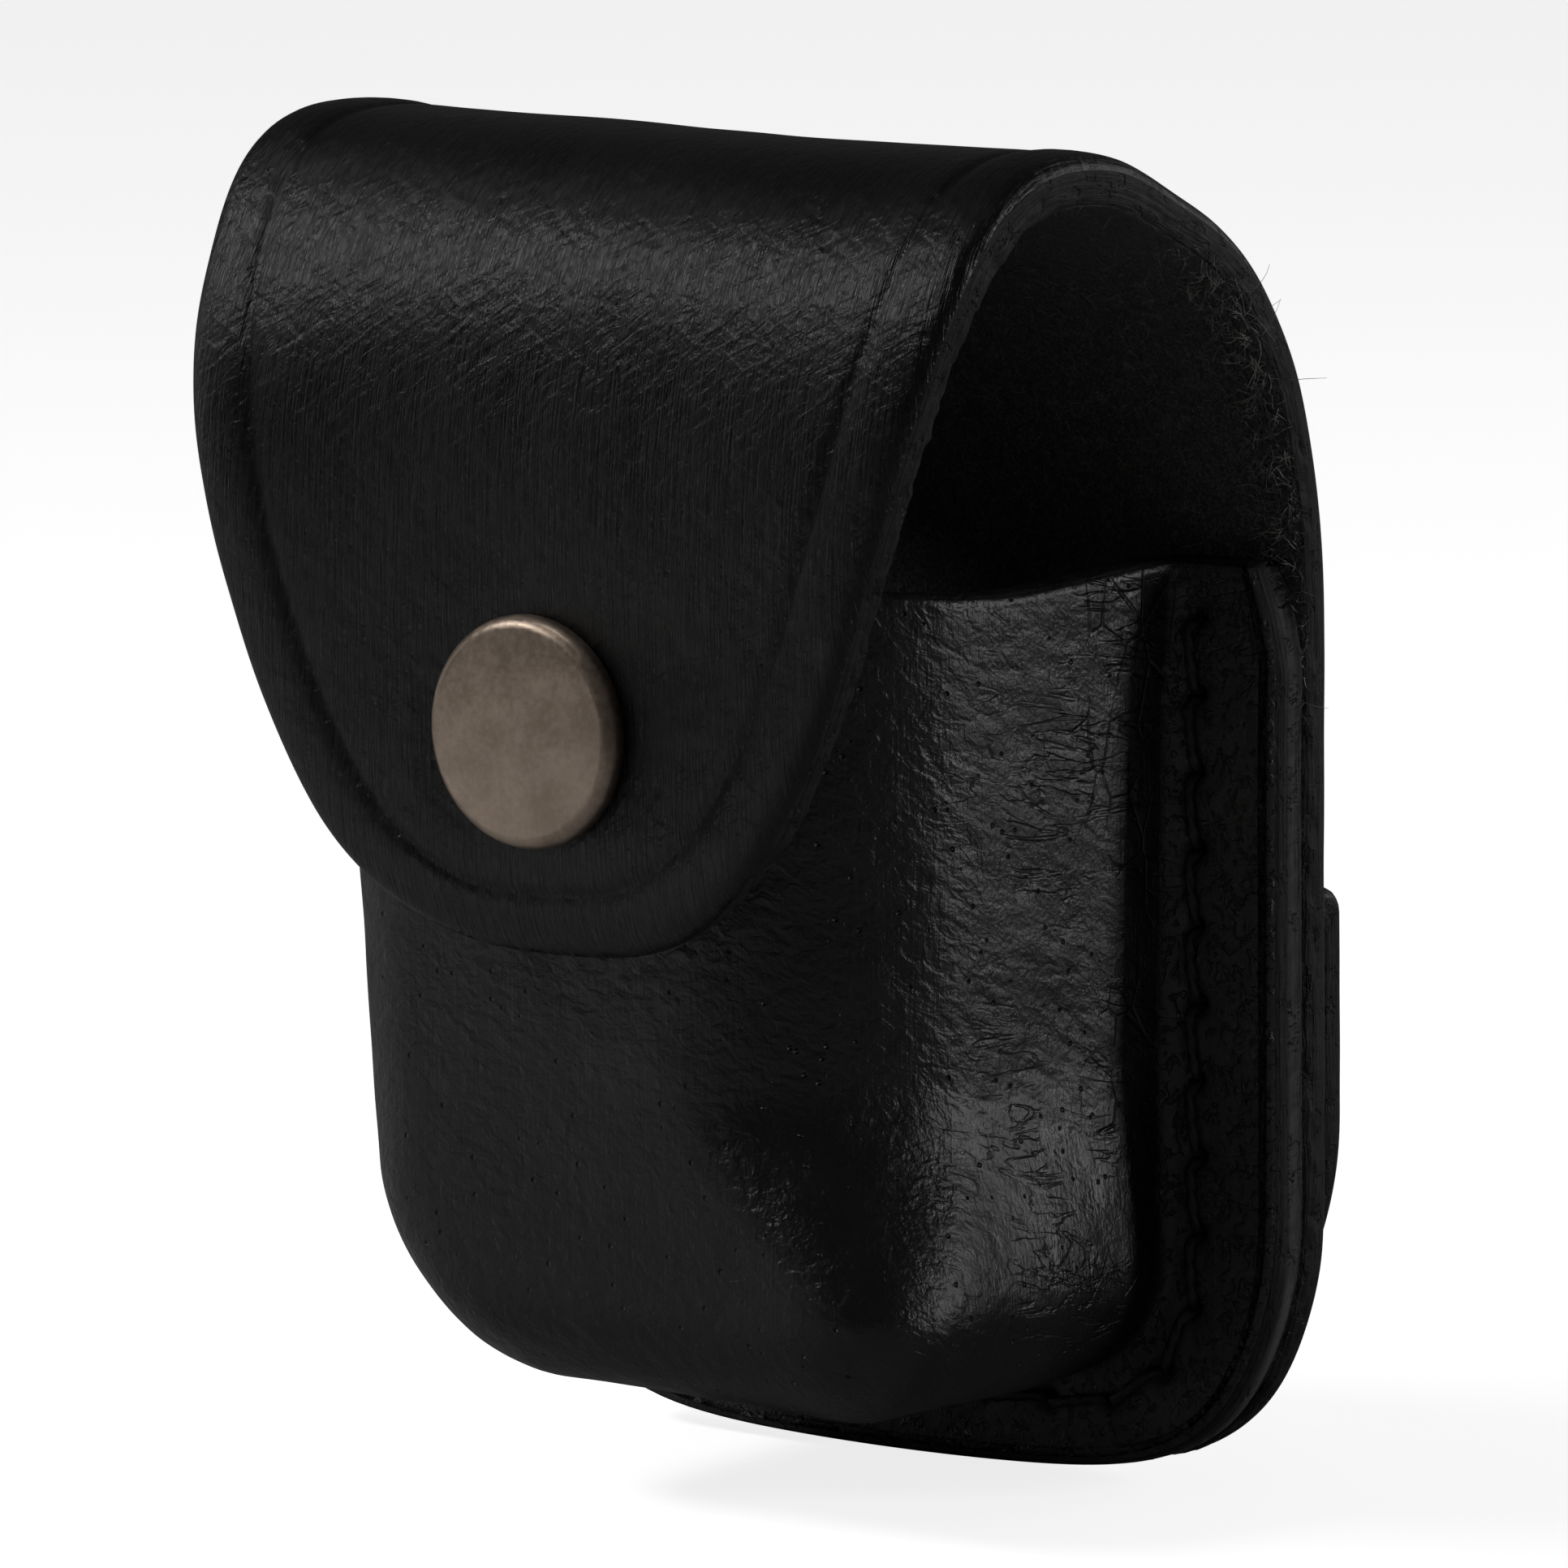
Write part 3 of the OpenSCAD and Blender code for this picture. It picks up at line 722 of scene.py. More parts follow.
def flange_reach(points, normals):
    """How far the flange runs outwards from each point of the foot."""
    reach = []
    for p, n in zip(points, normals):
        near, far = 0.0, 16.0
        for _ in range(30):
            middle = (near + far) / 2
            x, z = p + middle * n
            inside = abs(x) < HALF_W and z - BOTTOM > bottom_edge(x)
            near, far = (middle, far) if inside else (near, middle)
        reach.append(near)
    return np.array(reach)


def pocket_profile(width, depth, fillet):
    """Rows of the pocket from its front face out to the flange's edge, as matching outer and inner
    lists of (share of the flange's reach, offset outwards, height forward of the rear face).
    width and depth are the two radii of the bend from the front into the walls, and fillet is the
    radius of the bend from the walls into the flange."""
    top = -POCKET_Y
    flange = -FLANGE_Y
    outer, inner = [], []
    for a in np.radians(np.linspace(90, 0, 16)):
        c, s = math.cos(a), math.sin(a)
        outer.append((0, width * (c - 1), top - depth * (1 - s)))
        inner.append((0, -width + (width - POCKET_T) * c, top - depth + (depth - POCKET_T) * s))
    for h in np.linspace(top - depth, flange + fillet, 30)[1:]:
        outer.append((0, 0, h))
        inner.append((0, -POCKET_T, h))
    r = fillet
    for a in np.radians(np.linspace(0, 90, 7))[1:]:
        c, s = math.cos(a), math.sin(a)
        outer.append((0, r - r * c, flange + r - r * s))
        inner.append((0, r - (r + POCKET_T) * c, flange + r - (r + POCKET_T) * s))
    for share in np.linspace(0, 1, 18)[1:-2]:
        outer.append((share, r * (1 - share), flange))
        inner.append((share, r * (1 - share), flange - POCKET_T))
    for back, depth in EDGE_ROUND:
        outer.append((1, -back, flange - depth))
        rise = min(depth, 0.2) + 0.4 * (depth > 0.7)
        inner.append((1, -min(back, 0.25) * (depth < 0.7), flange - POCKET_T + rise))
    return np.array(outer), np.array(inner)


SEAM_HALF_W = 24.7
SEAM_LOW_Z = BOTTOM + 4.9
SEAM_TOP_Z = BOTTOM + 57.5
SEAM_R = 9.5
STITCH_PITCH = 5.0


def seam_places():
    """The holes of the seam round the pocket as (x, z), from its left top to its right top."""
    left = [(-SEAM_HALF_W, SEAM_TOP_Z), (-SEAM_HALF_W, SEAM_LOW_Z + SEAM_R)]
    bend = arc((-SEAM_HALF_W + SEAM_R, SEAM_LOW_Z + SEAM_R), SEAM_R, 180, 270, 40)
    half = np.vstack([left, bend[1:], [(0, SEAM_LOW_Z)]])
    path = np.vstack([half, half[::-1][1:] * (-1, 1)])
    return resample(path, round(lengths(path)[-1] / STITCH_PITCH))


SEAM = seam_places()


def seam_dents(x, z):
    """Depth of the dents that the stitches pull into the flange, in millimetres."""
    depth = np.zeros(np.shape(x))
    for k, (hx, hz) in enumerate(SEAM):
        d2 = (x - hx) ** 2 + (z - hz) ** 2
        size = DENT_R + 0.1 * math.sin(k * 2.7)
        depth += DENT_DEPTH * np.exp(-((d2 / size**2) ** 1.5)) + PUCKER_DEPTH * np.exp(-d2 / 2.2)
    return depth


def rim_shift(x, y, z):
    """How the walls lean and how the open rim dips, as (dx, dz)."""
    near = smooth((z - (RIM_Z - 16)) / 16)
    deep = (y - FLANGE_Y) / (POCKET_Y - FLANGE_Y)
    dip = -RIM_DIP * near**3 * np.clip(np.sin(np.pi * np.clip(deep * 1.05, 0, 1)), 0, 1) ** 1.5
    lean = RIM_FLARE * near**2 * np.sign(x) * smooth(np.abs(x) / POCKET_HALF_W)
    left = np.clip(-x / POCKET_HALF_W, 0, 1.2) * np.clip(deep, 0, 1)
    lean = lean - LEFT_LEAN * left * (z - BOTTOM - 18)
    flange = smooth((x - POCKET_HALF_W - 1.5) / (HALF_W - POCKET_HALF_W - 1.5))
    flange = flange * (1 - np.clip(deep * 4, 0, 1))
    top = np.clip((z - RIM_Z + 7) / 7, 0, 1)
    lean = lean + flange * (PANEL_SPREAD * smooth((z - BOTTOM - 6) / 14) - TAB_SLANT * top**1.5)
    low = 1 - smooth((z - BOTTOM - 7) / 20)
    side = 0.5 - 0.5 * np.clip(x / POCKET_HALF_W, -1, 1)
    rise = FLOOR_RISE * low * np.clip(deep, 0, 1) ** 0.5 * side
    return lean, dip + rise


def build_pocket():
    """The moulded pocket: front, walls, floor and flange, with its cut edge and its open rim."""
    flip = np.array([-1, 1])
    (left, left_out), (right, right_out) = (pocket_foot(radius) for radius in FOOT_R)
    foot = np.vstack([left[::-1] * flip, right[1:]])
    out = np.vstack([left_out[::-1] * flip, right_out[1:]])
    reach = flange_reach(foot, out)
    along = lengths(foot)
    firm = pocket_profile(FRONT_R, FRONT_R, FIRM_FILLET)
    soft = pocket_profile(*SOFT_CORNER, SOFT_FILLET)
    outer, inner = (np.stack(pair, axis=1) for pair in zip(firm, soft))
    softness = (foot[:, 0] > 0) * smooth((foot[:, 1] - POCKET_FLOOR - 6) / 16)
    skin = Skin()

    def ring(row):
        share, offset, height = row[0][:, None] + (row[1] - row[0])[:, None] * softness
        up = np.clip((height + FLANGE_Y) / (FLANGE_Y - POCKET_Y - FRONT_R), 0, 1)
        swell = (WALL_BULGE * np.sin(np.pi * up**0.75) + WALL_SPREAD * up) * (1 - softness)
        swell -= RIGHT_DRAFT * np.clip(height + FLANGE_Y, 0, None) * softness
        xz = foot + (share * reach + offset + swell)[:, None] * out
        return np.c_[xz[:, 0], -height, xz[:, 1]]

    def settle(points, outside):
        """Adds the rim's dip, the stitches' dents and a hand-made unevenness."""
        x, y, z = points[..., 0], points[..., 1], points[..., 2]
        dx, dz = rim_shift(x, y, z)
        moved = points + np.stack([dx, np.zeros_like(dx), dz], axis=-1)
        if outside:
            on_flange = smooth((y - (FLANGE_Y - 2.5)) / 2.0)
            moved[..., 1] += on_flange * seam_dents(x, z)
            far = smooth((FLANGE_Y - 3 - y) / 6)
            uneven = 0.22 * wander(points, 14, 6.0) + 0.08 * wander(points, 5, 2.0)
            away = points - np.array([0, -14, BOTTOM + 32])
            away /= np.linalg.norm(away, axis=-1, keepdims=True)
            moved += away * (far * uneven)[..., None]
        return moved

    def surface(profile, outside):
        rows = [settle(ring(row), outside) for row in profile]
        index = np.stack([skin.add(row) for row in rows])
        return np.stack(rows), index

    outer_rows, outer_index = surface(outer, True)
    inner_rows, inner_index = surface(inner, False)
    drop = lengths(firm[0][:, 1:] + np.c_[firm[0][:, 0] * 7, np.zeros(len(outer))])
    edge_start = len(outer) - 4
    flat = flat_grid(drop, along)
    skin.quads(outer_index[: edge_start + 1], flat[: edge_start + 1], GRAIN_ZONE)
    skin.quads(inner_index[: edge_start + 1], flat[: edge_start + 1], FLESH_ZONE)
    edge_index = np.vstack([outer_index[edge_start:], inner_index[edge_start:][::-1]])
    depth = np.linspace(EDGE_FLAT, EDGE_FLAT + 3, len(edge_index))
    skin.quads(edge_index, flat_grid(depth, along), EDGE_ZONE)

    turn = int(np.argmin(np.abs(out[:, 0] - out[:, 1] * -1) + (foot[:, 0] < 0) * 9))
    other = len(foot) - 1 - turn
    fronts = []
    for rows, index, outside, zone in (
        (outer_rows, outer_index, True, GRAIN_ZONE), (inner_rows, inner_index, False, FLESH_ZONE)
    ):
        bottom = slice(other, turn + 1)
        first = ring((outer if outside else inner)[0])
        left, right = first[: other + 1][::-1], first[turn:]
        top = np.linspace(left[-1], right[-1], turn - other + 1)
        grid = coons(first[bottom], right, top, left)
        number = np.zeros(grid.shape[:2], int)
        number[0], number[:, 0] = index[0][bottom], index[0][: other + 1][::-1]
        number[:, -1] = index[0][turn:]
        number[1:, 1:-1] = skin.add(settle(grid[1:, 1:-1], outside))
        skin.quads(number, grid[..., [0, 2]], zone)
        fronts.append(number[-1])

    faces = zip((outer_index, inner_index), fronts)
    starts = [np.r_[index[::-1, 0], front[1:-1], index[:, -1]] for index, front in faces]
    points = np.concatenate(skin.points)
    a, b = points[starts[0]], points[starts[1]]
    rows = [starts[0]]
    fuzz = 0.12 * wander(b, 0.9, 5.0)
    for share in (0.05, 0.14, 0.3, 0.5, 0.7, 0.86, 0.95):
        p = a + (b - a) * share
        p[:, 2] += 0.34 * (1 - abs(2 * share - 1) ** 3) + fuzz * share
        rows.append(skin.add(p))
    rows.append(starts[1])
    depth = np.linspace(EDGE_FLAT, EDGE_FLAT + 3, len(rows))
    skin.quads(np.stack(rows), flat_grid(depth, lengths(a)), EDGE_ZONE)

    points = np.concatenate(skin.points)
    aside, ahead = np.abs(points[:, 0]), points[:, 1] - POCKET_Y
    wall = smooth((aside - POCKET_HALF_W + 7) / 5) * smooth((ahead - 6) / 10)
    fold = smooth((aside - POCKET_HALF_W + 3) / 2) * smooth((ahead - 19) / 6)
    fold = fold * (1 - smooth((aside - 24) / 2))
    # the flange mark sets the matte, unwaxed finish and the wax daubs, and it also lifts the colour
    # there as painted fill light
    flange = smooth((points[:, 1] - FLANGE_Y + 1.2) / 1.0)
    marks = {"wall": wall, "fold": fold, "flange": flange}
    pocket = skin.build("moulded_pocket", [MOULDED, EDGE, FLESH], marks)
    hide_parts("front_pocket")
    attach(pocket, "pouch")


# ---- belt loop

LOOP_TOP_Z = BOTTOM + 38.6
LOOP_LOW_Z = BOTTOM + 12
LOOP_ROUND_Z = BOTTOM + 24
LOOP_END_Z = loop_low[2]
LOOP_UPPER_Z = loop_high[2]
LOOP_HALF_W = loop_high[0]
LOOP_FOOT_X = SEAM_HALF_W - SEAM_R


def loop_faces():
    """The strap's outer and inner faces, from its lower foot to its upper end, as (y, z)."""
    t, y = STRAP_T, LOOP_Y
    inner_y = y - t
    pairs = [
        ([(t, LOOP_END_Z), (t, LOOP_LOW_Z - 4)], [(0, LOOP_END_Z), (0, LOOP_LOW_Z - 3)], 14),
        (arc((t + 1.4, LOOP_LOW_Z - 4), 1.4, 180, 130),
         [(0, LOOP_LOW_Z - 3), (0.3, LOOP_LOW_Z - 2.3)], 6),
        ([(t + 0.5, LOOP_LOW_Z - 2.93), (y - 1.05, LOOP_LOW_Z - 0.6)],
         [(0.3, LOOP_LOW_Z - 2.3), (inner_y - 0.6, LOOP_LOW_Z + 0.9)], 14),
        (arc((y - 2.6, LOOP_LOW_Z + 1.5), 2.6, -54, 0),
         arc((inner_y - 1.2, LOOP_LOW_Z + 1.9), 1.2, -55, 0), 8),
        ([(y, LOOP_LOW_Z + 1.5), (y, LOOP_TOP_Z - 1.6)],
         [(inner_y, LOOP_LOW_Z + 1.9), (inner_y, LOOP_TOP_Z - t - 0.6)], 60),
        (arc((y - 1.6, LOOP_TOP_Z - 1.6), 1.6, 0, 90),
         arc((inner_y - 0.6, LOOP_TOP_Z - t - 0.6), 0.6, 0, 90), 10),
        ([(y - 1.6, LOOP_TOP_Z), (t + 1.6, LOOP_TOP_Z)],
         [(inner_y - 0.6, LOOP_TOP_Z - t), (0.5, LOOP_TOP_Z - t)], 8),
        (arc((t + 1.6, LOOP_TOP_Z + 1.6), 1.6, 270, 180),
         [(0.5, LOOP_TOP_Z - t), (0, LOOP_TOP_Z - t + 0.6)], 8),
        ([(t, LOOP_TOP_Z + 1.6), (t, LOOP_UPPER_Z)],
         [(0, LOOP_TOP_Z - t + 0.6), (0, LOOP_UPPER_Z)], 26),
    ]
    outer = np.vstack([resample(a, n)[:-1] for a, _, n in pairs] + [[(t, LOOP_UPPER_Z)]])
    inner = np.vstack([resample(b, n)[:-1] for _, b, n in pairs] + [[(0, LOOP_UPPER_Z)]])
    return outer, inner


def build_belt_loop():
    """The strap behind the pouch, standing off the back panel to take a belt."""
    outer, inner = loop_faces()
    section, along = sampled_section(outer, inner, STRAP_T)
    a = np.radians(np.linspace(0, 90, 120))
    x = LOOP_FOOT_X + (LOOP_HALF_W - LOOP_FOOT_X) * np.sin(a)
    z = LOOP_ROUND_Z - (LOOP_ROUND_Z - LOOP_END_Z) * np.cos(a)
    foot = np.c_[x, np.interp(z, outer[:, 1], along)]
    corner = arc((LOOP_HALF_W - 3, along[-1] - 3), 3, 0, 90, 24)
    half = np.vstack([[(0, 0)], foot, corner, [(0, along[-1])]])

    def relief(x, s):
        return 0.1 * wander(np.stack([x, s], axis=-1), 9, 7.7)

    def shift(x, s):
        return 0.9 * np.clip(x / LOOP_HALF_W, 0, 1), 0 * x

    t = STRAP_T
    rings = [
        (4.0, 0, 0), (3.0, 0, 0), (2.75, 0.04, 0), (2.55, 0.16, 0), (2.35, 0.04, 0),
        (2.0, -0.02, 0), (1.3, 0, 0), (0.8, 0.07, 0), (0.45, 0.2, 0), (0.2, 0.4, 0),
        (0.05, 0.65, 0), (0, 0.9, 1), (-0.03, 1.2, 1), (0, 1.5, 1), (0.03, 1.8, 1),
        (0.1, t - 0.35, 1), (0.25, t - 0.14, 1), (0.5, t - 0.03, 2), (1, t, 2), (4, t, 2),
    ]
    strap = leather_sheet("belt_loop_strap", section, half, rings, (70, 90), relief, shift, 0.08)
    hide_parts("belt_loop")
    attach(strap, "pouch")


# ---- thread

THREAD_R = 0.4
STITCH_GAP = 0.3            # how far a stitch stops short of the middle of its hole
STITCH_SLANT = 0.22         # how far its two ends stray to either side of the seam
WIRE_R = 0.36               # radius of the spring's wire
SPRING_R = 4.0
PLAIN = 1e6                 # a pitch so long that the strands show no twist


def rope(skin, path, radius, squash=1.0, pitch=1.5, phase=0.0):
    """A three-strand thread along a path, flattened in y by squash."""
    sides = 12
    path = np.asarray(path, float)
    along = lengths(path)
    tangent = np.gradient(path, axis=0)
    tangent /= np.linalg.norm(tangent, axis=1)[:, None]
    side = np.cross(tangent, (0, 1, 0))
    bad = np.linalg.norm(side, axis=1) < 0.2
    side[bad] = side[~bad].mean(axis=0)
    side /= np.linalg.norm(side, axis=1)[:, None]
    lift = np.cross(side, tangent)
    a = np.linspace(0, 2 * np.pi, sides, endpoint=False)
    twist = 2 * np.pi * along / pitch + phase
    lobes = radius * (0.9 + 0.16 * np.cos(3 * (a[None] - twist[:, None] / 3)))
    taper = np.ones(len(path))
    taper[[0, -1]] = 0.35
    rings = (
        path[:, None]
        + (lobes * np.cos(a) * taper[:, None])[..., None] * side[:, None]
        + (lobes * np.sin(a) * squash * taper[:, None])[..., None] * lift[:, None]
    )
    index = skin.add(rings)
    closed = np.c_[index, index[:, :1]]
    turn = np.linspace(0, 2 * np.pi * radius, sides + 1)
    skin.quads(closed, flat_grid(along, turn)[..., ::-1])
    for end in (0, -1):
        centre = skin.add(path[end][None])[0]
        fan = index[end]
        for k in range(0, sides, 2):
            corner = np.array([[fan[k], fan[(k + 1) % sides]], [centre, fan[(k + 2) % sides]]])
            skin.quads(corner, np.zeros((2, 2, 2)))


def stitches(name, places, face, out, depth, node, sink=0.12):
    """A run of stitches between places (x, z) on the face y, lying outwards along out."""
    skin = Skin()
    y = np.array([0.0, 1.0, 0.0])
    high = face + out * (THREAD_R * 0.55 - sink)
    for run in places:
        for k, (p, q) in enumerate(zip(run, run[1:])):
            d = (q - p) / np.linalg.norm(q - p)
            a, b = p + d * STITCH_GAP, q - d * STITCH_GAP
            ahead, slant = np.array([d[0], 0, d[1]]), STITCH_SLANT * np.array([-d[1], 0, d[0]])
            a, b = np.array([a[0], 0, a[1]]), np.array([b[0], 0, b[1]])
            knots = [
                a + y * (face - out * depth), a + y * (high - out * 0.5),
                a + y * high + ahead * 0.45 - slant, (a + b) / 2 + y * (high + out * 0.1),
                b + y * high - ahead * 0.45 + slant, b + y * (high - out * 0.5),
                b + y * (face - out * depth),
            ]
            path = resample(filleted(knots, 0.6, 6), 34)
            rope(skin, path, THREAD_R, squash=0.82, phase=k * 1.9)
    made = skin.build(name, [THREAD])
    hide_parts(node)
    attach(made, "pouch")


def loop_rows():
    """The two rows of holes that hold the belt loop."""
    rows = []
    for z, half in ((BOTTOM + 44.5, 17.5), (BOTTOM + 8, 17.5)):
        count = round(2 * half / STITCH_PITCH)
        rows.append(np.c_[np.linspace(-half, half, count + 1), np.full(count + 1, z)])
    return rows


def build_threads():
    stitches("seam_thread_front", [SEAM], FLANGE_Y, -1, 1.6, "seam_front_thread", sink=-0.02)
    stitches("seam_thread_back", [SEAM], 0.0, 1, 1.6, "seam_back_thread")
    stitches("loop_thread_outer", loop_rows(), STRAP_T, 1, 1.2, "loop_outer_thread")
    stitches("loop_thread_inner", loop_rows(), -LEATHER_T, -1, 1.2, "loop_inner_thread")


# ---- press stud


def lathe(name, profile, material, node, body, radius, closed=True):
    """A turned piece of the press stud. profile is (radius, distance forward of the pocket)."""
    turns = 96
    points = list(profile)
    if closed:
        start = (np.array(points[0], float) + np.array(points[-1], float)) / 2
        points = [start, *points, start]
    smooth_path = filleted(points, radius)
    a = np.linspace(0, 2 * np.pi, turns, endpoint=False)
    r, h = smooth_path[:, 0], smooth_path[:, 1]
    if closed:
        r, h = r[:-1], h[:-1]
    rings = np.stack([
        r[:, None] * np.cos(a)[None], POCKET_Y - np.repeat(h[:, None], turns, axis=1),
        SNAP_Z + r[:, None] * np.sin(a)[None],
    ], axis=-1)
    skin = Skin()
    index = skin.add(rings)
    if closed:
        index = np.vstack([index, index[:1]])
    index = np.c_[index, index[:, :1]]
    run = np.arange(index.shape[0]) * 0.1
    turn = np.linspace(0, 1, turns + 1)
    skin.quads(index, flat_grid(run, turn)[..., ::-1])
    made = skin.build(name, [material])
    edit_mesh(made.data, lambda work: bmesh.ops.remove_doubles(work, verts=work.verts, dist=1e-7))
    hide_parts(node)
    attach(made, body)


def build_press_stud():
    """The cap, its post, the socket and its spring on the flap, and the stud and its eyelet."""
    gap = (POCKET_Y - FLAP_Y) - LEATHER_T
    face = gap + LEATHER_T
    r = CAP_R
    crown = [(0.0, 1.9), (2.2, 1.89), (4.2, 1.83), (5.4, 1.74)]
    rim = arc((r - 1.05, 0.62), 1.05, 78, 0, 10)
    rolled = [(r, 0.25), (r - 0.15, 0.02), (r - 0.5, -0.06), (r - 1.0, 0.02), (r - 1.1, 0.3)]
    under = [(r - 0.45, 0.5), (r - 0.55, 1.0), (r - 1.2, 1.32), (0.0, 1.5)]
    cap = [(x, y + face) for x, y in [*crown, *rim, *rolled, *under]]
    lathe("cap_shell", cap, CAP_BRASS, "snap_cap", "flap", 0.3, closed=False)
    post = [
        (0.0, face + 0.5), (6.3, face + 0.5), (6.3, face), (1.9, face), (1.9, gap - 0.4),
        (2.3, gap - 0.42), (2.75, gap - 0.62), (2.7, gap - 0.88), (2.2, gap - 0.92),
        (1.6, gap - 0.7), (1.4, gap - 0.2), (1.4, face - 0.2), (0.0, face - 0.2),
    ]
    lathe("cap_post", post, STUD_BRASS, "snap_cap_post", "flap", 0.15, closed=False)
    socket = [
        (3.8, 1.15), (4.9, 1.13), (5.7, 1.5), (6.1, 2.2), (6.2, 3.1), (6.2, gap), (1.95, gap),
        (1.95, gap - 0.4), (3.8, gap - 0.4), (3.8, 2.65), (4.5, 2.55), (4.5, 1.65), (3.8, 1.55),
    ]
    lathe("socket", socket, STUD_BRASS, "snap_socket", "flap", 0.25)
    stud = [
        (1.55, 0), (4.9, 0), (5.0, 0.35), (4.5, 0.68), (3.0, 0.74), (2.35, 0.95), (2.3, 1.4),
        (2.85, 1.75), (2.9, 2.3), (2.4, 2.7), (1.55, 2.7),
    ]
    lathe("stud", stud, STUD_BRASS, "snap_stud", "pouch", 0.3)
    eyelet = [
        (1.05, -LEATHER_T - 0.5), (4.7, -LEATHER_T - 0.6), (4.8, -LEATHER_T - 0.1),
        (1.5, -LEATHER_T), (1.5, 2.7), (1.95, 2.72), (1.85, 2.98), (1.3, 3.0), (1.0, 2.8),
    ]
    lathe("stud_eyelet", eyelet, STUD_BRASS, "snap_stud_eyelet", "pouch", 0.2)
    ring = arc((0, SNAP_Z), SPRING_R, 100, 440, 89)
    path = np.insert(ring, 1, POCKET_Y - 2.1, axis=1)
    skin = Skin()
    rope(skin, path, WIRE_R, pitch=PLAIN)
    spring = skin.build("socket_ring_spring", [WIRE])
    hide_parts("snap_socket_spring")
    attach(spring, "flap")


# ---- flesh-side fibres

FACE_FIBRES = 2300          # all over the inner side
RIGHT_FIBRES, LEFT_FIBRES = 700, 450    # along its two cut edges
STRAY_FIBRES = 16           # longer ones that stand out past the right edge
FRAYED_X = 30.4             # how far out the edges' fibres are rooted
FIBRE_R = 0.035


def hairs(name, roots, directions, sizes, radius, curl, material):
    """Fine curved fibres, each a tapering three-sided tube that bends at random."""
    skin = Skin()
    sides, steps = 3, 6
    turn = np.linspace(0, 2 * np.pi, sides, endpoint=False)
    for root, direction, size in zip(roots, directions, sizes):
        d = direction / np.linalg.norm(direction)
        path = [root]
        bend = rng.normal(size=3) * curl
        for _ in range(steps):
            d = d + bend / steps + rng.normal(size=3) * 0.12
            d /= np.linalg.norm(d)
            path.append(path[-1] + d * size / steps)
        path = np.array(path)
        side = np.cross(d, (0.3, 0.5, 0.81))
        side /= np.linalg.norm(side)
        lift = np.cross(side, d)
        taper = radius * np.linspace(1, 0.35, steps + 1)
        rings = (
            path[:, None] + (taper[:, None] * np.cos(turn))[..., None] * side
            + (taper[:, None] * np.sin(turn))[..., None] * lift
        )
        index = skin.add(rings)
        skin.quads(np.c_[index, index[:, :1]], np.zeros((steps + 1, sides + 1, 2)))
        tips = skin.add(np.stack([path[0], path[-1]]))
        for tip, ring in zip(tips, (index[0], index[-1])):
            skin.quads(np.array([[ring[0], ring[1]], [tip, ring[2]]]), np.zeros((2, 2, 2)))
    return skin.build(name, [material])


def build_fibres():
    """Loose fibres on the inner side of the back panel and arch, and along its ragged corner."""
    roots, directions, sizes = [], [], []

    def grow(x, s, size, away, outward=0.0):
        y, z = body_section(np.array([s]), np.array([LEATHER_T - 0.05]))[0]
        oy, oz = body_section(np.array([s]), np.array([0.0]))[0]
        inward = np.array([0, y - oy, z - oz]) / LEATHER_T
        tangent = np.array([0, -inward[2], inward[1]])
        swirl = rng.normal(size=2)
        roots.append([x, y, z])
        sideways = np.array([1, 0, 0]) * (swirl[0] + outward)
        directions.append(inward * away + sideways + tangent * swirl[1])
        sizes.append(size)

    low, high = RIM_Z - BOTTOM - 8, APEX_S + 6
    for _ in range(FACE_FIBRES):
        grow(rng.uniform(-29, 30), rng.uniform(low, high), rng.uniform(0.6, 2.4), 0.35)
    for side, count in ((1, RIGHT_FIBRES), (-1, LEFT_FIBRES)):
        for _ in range(count):
            s = rng.uniform(low - 2, APEX_S - 12)
            x = side * rng.uniform(27.5, FRAYED_X) + (side > 0) * PANEL_SPREAD
            grow(x, s, rng.uniform(0.5, 2.0), 0.5)
    for _ in range(STRAY_FIBRES):
        s = rng.normal(APEX_S - 22, 3.5)
        grow(FRAYED_X + PANEL_SPREAD, s, rng.uniform(2.0, 4.5), 0.1, outward=2.2)
    roots, directions = np.array(roots), np.array(directions)
    fibres = hairs("flesh_fibres", roots, directions, sizes, FIBRE_R, 1.5, FLESH_FIBRE)
    return fibres


def fibre_material():
    """Loose leather fibre, a little paler than the nap."""
    n = Nodes(bpy.data.materials.new("leather_fibre"))
    tone = n.noise(n.solid((12, 12, 12)), 2)
    colour = n.ramp(tone, 0.3, 0.7), (0.08, 0.077, 0.074), (0.46, 0.445, 0.425)
    return n.finish(colour, 0.7, [(tone, 0.01)])


FLESH_FIBRE = fibre_material()

# ---- camera, floor and light

CAMERA_AZIMUTH, CAMERA_ELEVATION, CAMERA_ROLL = 37.284, 7.713, -0.461    # degrees
CAMERA_DISTANCE = 787.5
CAMERA_TARGET = (0, -16.8, BOTTOM + 45.6)
CAMERA_SLIDE = (-0.53, 0.35)            # how far it stands right of and above that line
CAMERA_LENS = 276.8

FLOOR_GAP = 0.4             # room under the uneven cut edge
FLOOR_WHITE, FLOOR_GLOW = 0.9, 0.82     # the floor as the camera sees it
FLOOR_BOUNCE = 0.42         # the floor as everything else sees it
WORLD_FILL = 0.046          # the backdrop's light on the pouch; the camera sees it white

MIDDLE = (0, -0.02, 0.02)
